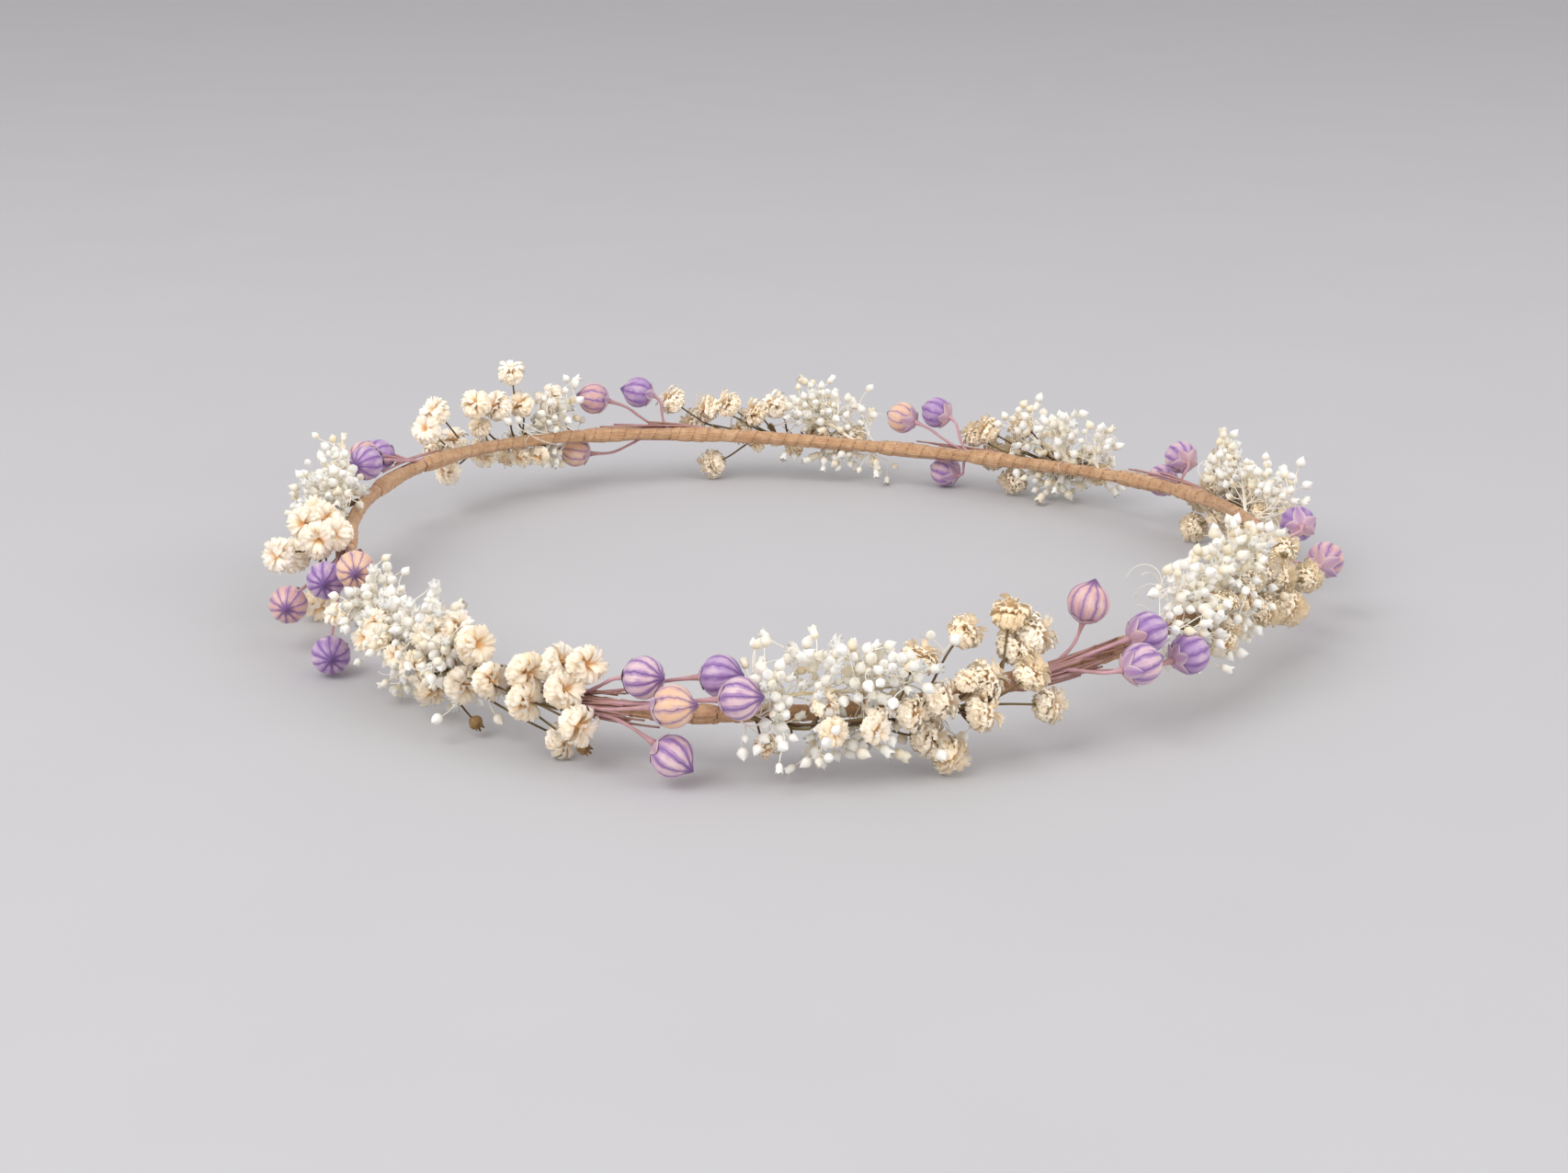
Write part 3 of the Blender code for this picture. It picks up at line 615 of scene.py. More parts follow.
class Surface:
    """Points and faces with their own coordinates, gathered into one piece."""

    def __init__(self):
        self.points = []
        self.forms = []
        self.faces = []
        self.finishes = []
        self.count = 0

    def add(self, points, faces, forms, finish):
        points = np.reshape(points, (-1, 3))
        self.points.append(points)
        self.forms.append(np.reshape(forms, (-1, 3)))
        self.faces.extend((np.asarray(faces) + self.count).tolist())
        self.finishes.extend([finish] * len(faces))
        self.count += len(points)

    def piece(self, name, materials, node):
        mesh = bpy.data.meshes.new(name)
        mesh.from_pydata(np.vstack(self.points).tolist(), [], self.faces)
        form = mesh.attributes.new("form", "FLOAT_VECTOR", "POINT")
        form.data.foreach_set("vector", np.vstack(self.forms).astype(np.float32).ravel())
        mesh.polygons.foreach_set("material_index", self.finishes)
        mesh.polygons.foreach_set("use_smooth", [True] * len(self.faces))
        for material in materials:
            mesh.materials.append(material)
        made = bpy.data.objects.new(name, mesh)
        bpy.context.scene.collection.objects.link(made)
        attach(made, BODY)
        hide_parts(node)


def grid_faces(rows, columns, wrap):
    """Quads over rows of points; wrap joins the last column to the first."""
    row, column = np.meshgrid(
        np.arange(rows - 1), np.arange(columns if wrap else columns - 1), indexing="ij")
    after = (column + 1) % columns
    corners = (row * columns + column, row * columns + after,
               (row + 1) * columns + after, (row + 1) * columns + column)
    return np.stack(corners, axis=-1).reshape(-1, 4)


def cap_faces(pole, first, columns, turned):
    """Triangles from a pole to the ring of points that starts at first."""
    column = np.arange(columns)
    after = (column + 1) % columns
    pair = (first + after, first + column) if turned else (first + column, first + after)
    return np.stack([np.full(columns, pole), *pair], axis=-1)


def add_turned(surface, rings, forms, poles, finish):
    """A closed round body: rows of points with a pole before the first and after the last."""
    rows, columns = rings.shape[:2]
    first_form = forms[0].mean(axis=0)
    last_form = forms[-1].mean(axis=0)
    points = np.vstack([rings.reshape(-1, 3), poles])
    all_forms = np.vstack([forms.reshape(-1, 3), first_form, last_form])
    start = surface.count
    surface.add(points, grid_faces(rows, columns, True), all_forms, finish)
    for pole, first, turned in ((0, 0, True), (1, (rows - 1) * columns, False)):
        caps = cap_faces(rows * columns + pole, first, columns, turned) + start
        surface.faces.extend(caps.tolist())
        surface.finishes.extend([finish] * columns)


def spun(across, side, turns):
    """Directions at each turn from across towards side."""
    return across * np.cos(turns)[..., None] + side * np.sin(turns)[..., None]


def ring_ways(across, side, columns):
    turns = np.arange(columns) * math.tau / columns
    return turns, spun(across, side, turns)


def carried(path):
    """Two directions square to a path at each of its points, without twist."""
    along = unit(np.gradient(path, axis=0))
    across = [unit(np.cross(along[0], [0.3, 0.2, 0.93]))]
    for heading in along[1:]:
        across.append(unit(across[-1] - heading * (across[-1] @ heading)))
    across = np.array(across)
    return across, np.cross(along, across)


def add_tube(surface, path, radii, sides, finish, tint):
    """A closed round stem along a path; its form is its share of the length, roll and tint."""
    radii = np.broadcast_to(radii, len(path))
    across, side = carried(path)
    turns, ring = ring_ways(across[:, None], side[:, None], sides)
    points = path[:, None] + ring * radii[:, None, None]
    rolls, shares = np.meshgrid(turns / math.tau, np.linspace(0, 1, len(path)))
    forms = np.stack([shares, rolls, np.full_like(rolls, tint)], axis=-1)
    add_turned(surface, points, forms, path[[0, -1]], finish)


def bent(start, start_way, end, end_way, count, pull=0.4):
    """A smooth bend that leaves start along one direction and meets end along another."""
    reach = np.linalg.norm(end - start) * pull
    t = np.linspace(0, 1, count)[:, None]
    return ((1 - t) ** 3 * start + 3 * (1 - t) ** 2 * t * (start + unit(start_way) * reach)
            + 3 * (1 - t) * t ** 2 * (end - unit(end_way) * reach) + t ** 3 * end)


def smooth_line(points, per_span):
    """A curve through points."""
    padded = np.vstack([2 * points[0] - points[1], points, 2 * points[-1] - points[-2]])
    line = []
    for a, b, c, d in zip(padded, padded[1:], padded[2:], padded[3:]):
        for t in np.arange(per_span) / per_span:
            line.append(0.5 * (2 * b + (c - a) * t + (2 * a - 5 * b + 4 * c - d) * t ** 2
                               + (3 * b - a - 3 * c + d) * t ** 3))
    line.append(points[-1])
    return np.array(line)


def blade_grid(rows, columns):
    """Shares of a blade's length by rows, and places across it from -1 to 1 by columns."""
    return np.meshgrid(np.linspace(0, 1, rows), np.linspace(-1, 1, columns), indexing="ij")


def add_blade(surface, points, share, v, tint, finish):
    """A thin scale or leaf over a blade's grid."""
    forms = np.stack([share, v, np.full_like(v, tint)], axis=-1)
    surface.add(points, grid_faces(*v.shape, False), forms, finish)


def square_to(way, turn):
    """A direction square to another, at a share of a turn round it."""
    across = unit(np.cross(way, [0.31, 0.17, 0.94]))
    side = np.cross(unit(way), across)
    return across * math.cos(math.tau * turn) + side * math.sin(math.tau * turn)


def strewn(way, least, most, chance):
    """A direction that leans off another by a chance amount."""
    return unit(unit(way) + square_to(way, chance.uniform()) * chance.uniform(least, most))


def tucked_line(rings, hoop, second):
    """A stem's line through its sections, with the first two drawn in under the tape."""
    rings[0] = hoop.drawn_in(rings[0], CUT_END)
    rings[1] = hoop.drawn_in(rings[1], second)
    return smooth_line(rings, SPAN_POINTS)


def nearest_on(line, centre):
    return int(np.argmin(np.linalg.norm(line - centre, axis=1)))


# Tape

def wind_tape(node, hoop, settings, material):
    """Paper tape wound in a close spiral, drawn in at its mouth round the stems."""
    sections = bands(node)
    angles = np.array([angle for angle, _, _ in sections])
    cad = np.array([radius for _, _, radius in sections])
    to_mm = math.radians(1) * hoop.radius[0] / MM
    overlap_mm = 1.4
    count = int((angles[-1] - angles[0]) * to_mm / 0.4)
    stations = np.linspace(angles[0] - overlap_mm / to_mm, angles[-1], count)
    run = (stations - stations[0]) * to_mm
    swell = (cad - cad.min()) / (cad.max() - cad.min())
    outer = np.interp(stations, angles, settings.thin + (settings.thick - settings.thin) * swell)
    soft = np.hanning(15) / np.hanning(15).sum()
    outer = np.convolve(np.pad(outer, 7, mode="edge"), soft, mode="valid")
    outer *= 1 - 0.16 * np.clip(1 - (run[-1] - run) / 3.0, 0, 1) ** 2
    outer *= 1 - 0.2 * np.clip(1 - run / 2.0, 0, 1)
    sides = 56
    rolls = np.arange(sides) / sides
    chance = np.random.default_rng(sum(map(ord, node)))
    phase = chance.uniform(0, 1)
    drift = 0.14 * np.sin(run / 7.3 + phase * 9) + 0.09 * np.sin(run / 3.1 + phase * 20)
    wound = run[:, None] * MM / settings.pitch + drift[:, None] - rolls[None, :] + phase
    overlap = wound % 1
    edge = settings.step * (1 - overlap) * np.clip(overlap / 0.07, 0, 1)
    creases = np.sin(rolls[None, :] * math.tau * 17 + 2.2 * np.sin(run[:, None] / 5 + phase * 7)
                     + np.floor(wound) * 2.4)
    stems_below = np.sin(rolls[None, :] * math.tau * 5 + run[:, None] / 9 + phase * 5)
    bulges = 0.5 * np.sin(run[:, None] / 2.3 + phase * 11) + stems_below
    radius = outer[:, None] + edge + settings.crease * creases + 0.08 * MM * bulges
    _, outward, upward = hoop.axes(stations)
    spokes = spun(outward[:, None], upward[:, None], rolls * math.tau)
    points = hoop.points(stations)[:, None] + spokes * radius[:, :, None]
    # The overlap share in the third place of form sets where the paper's material paints shade under
    # each edge
    forms = np.stack([np.repeat(run[:, None], sides, axis=1),
                      np.repeat(rolls[None], count, axis=0), overlap], axis=-1)
    # The mouth is gathered in round the stems in two pleated rolls
    along = hoop.axes(stations[-1])[0][0]
    pleats = 0.13 * MM * np.sin(rolls * math.tau * 9 + phase * 6)
    lips = []
    for shrink, ahead in ((0.9, -0.25), (0.76, -0.1), (0.58, 0.5), (0.36, 0.8)):
        lip = points[-1] + spokes[-1] * radius[-1][:, None] * (shrink - 1)
        lips.append(lip + along * (pleats[:, None] - ahead * MM))
    points = np.concatenate([points, lips])
    forms = np.concatenate([forms, np.repeat(forms[-1:], len(lips), axis=0)])
    ends = np.stack([points[0].mean(axis=0), points[-1].mean(axis=0)])
    surface = Surface()
    add_turned(surface, points, forms, ends, 0)
    surface.piece("wound_" + node, [material], node)


# Flax

def add_husk(surface, centre, axis, radius, settings, chance):
    """A ribbed seed case with a small beak, and the five sepals that clasp its base."""
    across = square_to(axis, chance.uniform())
    side = np.cross(axis, across)
    rows, columns = 30, 80
    levels = np.linspace(0.0, math.pi, rows + 2)[1:-1]
    turns, spokes = ring_ways(across, side, columns)
    panel = turns * 10 / math.tau
    bulge = np.abs(np.sin(math.pi * panel)) ** 0.5
    depth = np.where(np.round(panel).astype(int) % 2 == 0, 1.0, 0.6) * settings.rib_depth
    fade = np.sin(levels)[:, None] ** 0.5
    beak = 1 + (settings.beak - 1) * np.exp(-(levels / 0.24) ** 2)
    girth = 1 - 0.04 * np.cos(levels) ** 2 + 0.015 * np.sin(levels)
    size = radius * (beak * girth)[:, None] * (1 - depth * (1 - bulge) * fade)
    flat = np.sin(levels)[:, None] * size
    height = np.cos(levels)[:, None] * size
    rings = centre + axis * height[:, :, None] + spokes * flat[:, :, None]
    forms = np.stack([
        np.sin(levels)[:, None] * np.cos(turns),
        np.sin(levels)[:, None] * np.sin(turns),
        np.repeat(np.cos(levels)[:, None], columns, axis=1),
    ], axis=-1)
    poles = centre + axis * np.array([[settings.beak * radius], [-0.96 * radius]])
    add_turned(surface, rings, forms, poles, HUSK)
    for k in range(5):
        turn = (k + chance.uniform(-0.15, 0.15)) / 5
        add_sepal(surface, centre, axis, across, side, radius, turn, chance)


def add_sepal(surface, centre, axis, across, side, radius, turn, chance):
    """A pointed scale from the base of the husk up its side, its tip a little free."""
    share, v = blade_grid(11, 9)
    level = math.pi - 0.12 - share * chance.uniform(0.75, 1.1)
    width = 0.4 * np.sin(math.pi * np.minimum(1.0, 0.25 + 0.75 * share)) ** 0.8
    bow = math.tau * turn + v * width / np.maximum(np.sin(level), 0.45)
    lift = 1.035 + chance.uniform(0.02, 0.14) * share ** 4 - 0.03 * v * v
    way = spun(across, side, bow) * np.sin(level)[..., None]
    points = centre + (way + axis * np.cos(level)[..., None]) * (radius * lift)[..., None]
    add_blade(surface, points, share, v, chance.uniform(), SEPAL)


def add_loose_stems(surface, hoop, start, centre, settings, chance):
    """A few more cut stems that lie over the tape beside the boll's own."""
    first, last = (hoop.beside(point)[0] for point in (start, centre))
    ahead = math.copysign(1, near_turn(last - first))
    for _ in range(settings.loose_stems):
        share = np.linspace(-0.1, 1, 14)
        span = chance.uniform(14, 27) * MM
        angles = first + ahead * np.degrees(share * span / hoop.radius[0])
        rolls = chance.uniform(-1.0, 1.4) + chance.uniform(-0.7, 0.7) * share
        lift = np.interp(share, [-0.1, 0.15, 1], [0.9, 2.1, chance.uniform(2.1, 3.2)]) * MM
        _, outward, upward = hoop.axes(angles)
        path = hoop.points(angles) + spun(outward, upward, rolls) * lift[:, None]
        thick = np.linspace(0.42, 0.3, 14) * settings.stem
        add_tube(surface, path, thick, 7, BOLL_STEM, chance.uniform(0.5, 1.0))


def build_boll(node, hoop, settings, materials, chance):
    """One boll on its stem, placed on its CAD node's own sections."""
    points, faces = solid(node)
    rings = rings_from_point(points, faces)
    centre, radius = balls(points, faces, *BOLL_RADII)[0]
    axis = unit(rings[0] - centre)
    stem = rings[5:][::-1].copy()
    line = tucked_line(stem, hoop, 1.3 * MM)
    surface = Surface()
    add_husk(surface, centre, axis, radius, settings, chance)
    thick = np.full(len(line), settings.stem / 2)
    thick *= 1 + 0.08 * np.sin(np.arange(len(line)) * 0.9 + chance.uniform(0, 6))
    thick[-5:] = settings.stem / 2 * np.array([1.05, 1.15, 1.35, 1.7, 2.3])
    add_tube(surface, line, thick, 9, BOLL_STEM, chance.uniform(0.0, 0.6))
    add_loose_stems(surface, hoop, stem[0], centre, settings, chance)
    surface.piece("dyed_" + node, materials, node)


# Bleached sprigs

def add_bud(surface, base, way, size, width, open_end, chance):
    """A drop-shaped bud; an open one ends in a ring of teeth in place of a point."""
    rows, columns = 8, 10
    shares = np.linspace(0.04, 0.96, rows)
    if open_end:
        girth = np.interp(shares, [0, 0.15, 0.4, 0.65, 1], [0.2, 0.7, 0.92, 0.78, 1.12])
    else:
        girth = np.sin(math.pi * shares ** 0.8) ** 0.8 * (1 - 0.3 * shares ** 4)
    across = square_to(way, chance.uniform())
    turns, spokes = ring_ways(across, np.cross(way, across), columns)
    teeth = np.abs(np.cos(turns * 2.5)) * 0.28 if open_end else 0.02 * np.cos(turns * 3)
    axial = shares[:, None] + shares[:, None] ** 4 * teeth
    lobes = 1 + 0.07 * np.cos(turns * 4 + chance.uniform(0, 6))
    flat = girth[:, None] * lobes * width / 2
    rings = base + way * (axial * size)[..., None] + spokes * flat[..., None]
    tint = 0.75 * chance.uniform() ** 4
    forms = np.stack([
        np.repeat(shares[:, None], columns, axis=1),
        np.repeat(np.cos(turns)[None], rows, axis=0),
        np.full((rows, columns), tint),
    ], axis=-1)
    deepest = 0.72 if open_end else 1.08
    poles = base + way * np.array([[0.0], [deepest * size]])
    add_turned(surface, rings, forms, poles, BUD)


class Cloud:
    """The room that a sprig's buds may take: beside the hoop, clear of other pieces and each other."""

    def __init__(self, node, hoop, line):
        self.clear = others_tree(node)
        self.hoop = hoop
        first, last = (hoop.beside(line[k])[0] for k in (0, -1))
        span = near_turn(last - first)
        self.middle = first + span / 2
        self.half = abs(span) / 2 + math.degrees(4 * MM / hoop.radius[0])
        self.buds = []
        self.bolls = [balls(*solid(name), *BOLL_RADII)[0] for name in nodes_named("flax_boll")]
        self.eye = np.array(viewpoint(bpy.context.scene.flower_crown.stage))

    def hides_boll(self, point):
        """Whether a bud there would stand before the middle of a boll, seen from the front."""
        for centre, radius in self.bolls:
            sight = unit(self.eye - centre)
            ahead = (point - centre) @ sight
            if ahead > 0 and np.linalg.norm(point - centre - sight * ahead) < 0.85 * radius:
                return True
        return False

    def takes(self, point, radius):
        if point[2] - radius < FRAME_BOX[0][2] + 0.6 * MM:
            return False
        angle, out, up = self.hoop.beside(point)
        if abs(near_turn(angle - self.middle)) > self.half:
            return False
        if not (-1.5 * MM < out < 13 * MM and -9 * MM < up < 16 * MM) or math.hypot(out, up) < 2.7 * MM:
            return False
        if self.buds and np.linalg.norm(np.array(self.buds) - point, axis=1).min() < 1.7 * radius:
            return False
        if self.clear.find_nearest(point.tolist())[3] < radius * 0.85:
            return False
        return not self.hides_boll(point)

    def stem_passes(self, path):
        return min(self.clear.find_nearest(point.tolist())[3] for point in path[2::2]) > 0.2 * MM


def grow_bud(surface, cloud, stem, settings, chance):
    """A bud on its own fine stalk from somewhere on a branch: the stalk, or None without room."""
    at = int(chance.integers(3, len(stem) - 1))
    onward = stem[at + 1] - stem[at - 1]
    out = strewn(onward, 0.4, 1.9, chance)
    scale = chance.uniform(0.7, 1.08)
    end = stem[at] + out * chance.uniform(2.2, 6.0) * MM
    way = strewn(out, 0.0, 0.7, chance)
    middle = end + way * settings.bud_length * scale / 2
    if not cloud.takes(middle, settings.bud_width * scale / 2):
        return None
    path = bent(stem[at], onward, end, way, 9)
    if not cloud.stem_passes(path):
        return None
    thick = np.linspace(0.42, 0.34, 9) * settings.stem
    add_tube(surface, path, thick, 5, STALK, chance.uniform(0, 0.5))
    add_bud(surface, end, way, settings.bud_length * scale, settings.bud_width * scale,
            chance.uniform() < 0.25, chance)
    cloud.buds.append(middle)
    return path


def grow_curl(surface, cloud, stem, settings, chance):
    """A bare stalk that curls as it dries."""
    at = int(chance.integers(3, len(stem) - 1))
    onward = unit(stem[at + 1] - stem[at - 1])
    out = square_to(onward, chance.uniform())
    reach = chance.uniform(3.0, 7.0) * MM
    turns = np.linspace(0, chance.uniform(1.5, 3.6), 14)[:, None]
    path = stem[at] + (onward * np.sin(turns) + out * (1 - np.cos(turns))) * (reach / 2)
    if all(cloud.clear.find_nearest(point.tolist())[3] > 0.2 * MM for point in path[3:]):
        if path[:, 2].min() > FRAME_BOX[0][2] + 0.5 * MM:
            thick = np.linspace(0.36, 0.2, 14) * settings.stem
            add_tube(surface, path, thick, 5, STALK, chance.uniform(0, 0.6))


def build_white_sprig(node, hoop, settings, materials, chance):
    """A bleached sprig: fine curved stalks that part again and again, most with a bud at the end."""
    points, faces = solid(node)
    line = tucked_line(stalk_line(points, faces, hoop, 0.5 * MM), hoop, 1.2 * MM)
    cloud = Cloud(node, hoop, line)
    surface = Surface()
    across, side = carried(line)
    for k in range(4):
        twist = np.linspace(0, 5, len(line)) + k / 4 * math.tau
        strand = line + spun(across, side, twist) * 0.24 * MM
        add_tube(surface, strand, np.linspace(0.24, 0.13, len(line)) * MM, 6, STALK, chance.uniform())
    stems = []
    for centre, _ in balls(points, faces, *BUD_RADII):
        nearest = nearest_on(line, centre)
        back = np.abs(np.linalg.norm(line[:nearest + 1] - centre, axis=1) - chance.uniform(7, 13) * MM)
        root = min(int(np.argmin(back)), len(line) - 2)
        heading = line[root + 1] - line[root]
        way = strewn(centre - line[root], 0.1, 0.6, chance)
        base = centre - way * settings.bud_length / 2
        stem = bent(line[root], heading, base, way, 14)
        thick = np.linspace(0.6, 0.42, 14) * settings.stem
        add_tube(surface, stem, thick, 6, STALK, chance.uniform(0, 0.5))
        add_bud(surface, base, way, settings.bud_length, settings.bud_width, False, chance)
        cloud.buds.append(centre)
        stems.append(stem)
    branches = len(stems)
    stems += [line[k:k + 14] for k in range(4, len(line) - 14, 4)]
    first = len(stems)
    for _ in range(branches * settings.buds * 12):
        if len(cloud.buds) < branches * settings.buds:
            # Half of them grow near the main stalk, and half from any stalk there is by now
            oldest = first if chance.uniform() < 0.5 else len(stems)
            grown = grow_bud(surface, cloud, stems[int(chance.integers(oldest))], settings, chance)
            stems += [] if grown is None else [grown]
    for stem in stems[:branches]:
        for _ in range(settings.curls):
            grow_curl(surface, cloud, stem, settings, chance)
    surface.piece("bleached_" + node, materials, node)


# Gypsophila

def add_leaf(surface, base, tip, face_way, width, curl, finish, tint):
    """A small pointed leaf or sepal that curls back towards its tip."""
    share, v = blade_grid(7, 5)
    along = unit(tip - base)
    side = unit(np.cross(along, face_way))
    up = np.cross(side, along)
    wide = width / 2 * np.sin(math.pi * np.minimum(1, 0.12 + 0.88 * share)) ** 0.7
    span = np.linalg.norm(tip - base)
    raised = 0.35 * wide * v * v - curl * span * share ** 2
    points = (base + along * (share * span)[..., None] + side * (v * wide)[..., None]
              + up * raised[..., None])
    add_blade(surface, points, share, v, tint, finish)


def add_flower(surface, centre, axis, radius, settings, tint, chance):
    """A double flower: notched, ruffled petals that bend outward and close into a ball."""
    number = settings.petals
    across = square_to(axis, chance.uniform())
    side = np.cross(axis, across)
    order = np.arange(number)
    level = np.arccos(1 - (order + 0.5) / number * 1.78) + chance.uniform(-0.12, 0.12, number)
    bow = order * GOLDEN + chance.uniform(-0.3, 0.3, number)
    size = chance.uniform(0.9, 1.05, number)[:, None, None]
    bend = chance.uniform(0.35, 0.75, number)[:, None, None]
    broad = chance.uniform(0.8, 1.2, number)[:, None, None] * settings.petal_width * radius / 2
    notch = chance.uniform(0.08, 0.26, number)[:, None, None]
    ruffle = chance.uniform(0.03, 0.065, number)[:, None, None] * radius
    phase = chance.uniform(0, math.tau, (2, number))[:, :, None, None]
    tints = np.clip(tint + chance.uniform(-0.1, 0.22, number), 0, 1)
    rows, columns = 7, 9
    share, v = (grid[None] for grid in blade_grid(rows, columns))
    end = 1 - notch * np.exp(-(v / 0.3) ** 2) - 0.12 * v ** 2 + 0.05 * np.sin(9 * v + phase[0])
    out = share * (1 + (end - 1) * share ** 2)
    angle = level[:, None, None] + bend * out ** 2.5
    # The petals spring from low in the ball, so those that point up are longer
    low = 0.3
    full = radius * (low * np.cos(angle) + np.sqrt(1 - (low * np.sin(angle)) ** 2))
    reach = full * size * (0.12 + 0.88 * out ** 0.85)
    spoke = spun(across, side, bow)[:, None, None]
    beside = spun(side, -across, bow)[:, None, None]
    way = spun(axis, spoke, angle)
    fall = spun(spoke, -axis, angle)
    tilt = np.minimum(1, 1.5 * out ** 2)[..., None]
    face_way = way * np.sin(tilt) - fall * np.cos(tilt)
    wide = broad * (0.16 + 0.84 * np.sin(math.pi / 2 * share) ** 1.3)
    crinkle = ruffle * share ** 1.5 * (np.sin(5.5 * v + phase[0]) + 0.5 * np.sin(12 * v + phase[1]))
    heart = centre - axis * (low * radius)
    points = (heart + way * reach[..., None] + beside * (v * wide)[..., None]
              + face_way * crinkle[..., None])
    forms = np.stack([
        np.broadcast_to(share, points.shape[:3]),
        np.broadcast_to(v, points.shape[:3]),
        np.broadcast_to(tints[:, None, None], points.shape[:3]),
    ], axis=-1)
    one = grid_faces(rows, columns, False)
    faces = (one[None] + (order * rows * columns)[:, None, None]).reshape(-1, 4)
    surface.add(points, faces, forms, PETAL)
    foot = centre - axis * (0.92 * radius)
    path = foot + axis * (np.linspace(0, 0.42, 6) * radius)[:, None]
    cup = np.array([0.1, 0.2, 0.27, 0.31, 0.33, 0.3]) * radius
    add_tube(surface, path, cup, 10, LEAF, chance.uniform())
    for k in range(5):
        way = across * math.cos(k * math.tau / 5) + side * math.sin(k * math.tau / 5)
        start = foot + axis * (0.15 * radius) + way * (0.2 * radius)
        tip = foot + axis * (0.7 * radius) + way * (0.62 * radius)
        add_leaf(surface, start, tip, axis, 0.34 * radius, 0.1, LEAF, chance.uniform())


def add_seed_head(surface, centre, axis, radius, chance):
    """A small dry seed head, round with six open teeth at its end."""
    columns = 12
    levels = np.linspace(math.pi - 0.25, 0.5, 9)
    across = square_to(axis, chance.uniform())
    turns, spokes = ring_ways(across, np.cross(axis, across), columns)
    size = radius * (1 + 0.05 * np.cos(turns * 6))
    flat = np.sin(levels)[:, None] * size
    height = np.cos(levels)[:, None] * size
    rings = centre + axis * height[..., None] + spokes * flat[..., None]
    forms = np.stack([np.repeat(np.linspace(0, 1, 9)[:, None], columns, axis=1),
                      np.repeat(turns[None], 9, axis=0), np.full((9, columns), 0.4)], axis=-1)
    poles = centre + axis * np.array([[-radius], [0.6 * radius]])
    add_turned(surface, rings, forms, poles, SEED)
    for way in spokes[::2]:
        start = centre + axis * (0.84 * radius) + way * (0.42 * radius)
        tip = start + axis * (0.45 * radius) + way * (0.3 * radius)
        add_leaf(surface, start, tip, way, 0.4 * radius, 0.0, SEED, 0.7)


def has_room(centre, radius, taken, clear, hoop):
    """Whether a ball there is off the floor and clear of the hoop, its own sprig and the others."""
    _, out, up = hoop.beside(centre)
    return (centre[2] - radius > FRAME_BOX[0][2] + 0.6 * MM and out > -2 * MM
            and math.hypot(out, up) > 1.8 * MM + 0.9 * radius
            and clear.find_nearest(centre.tolist())[3] > 0.85 * radius
            and all(np.linalg.norm(centre - other) > 0.8 * (radius + size) for other, size in taken))


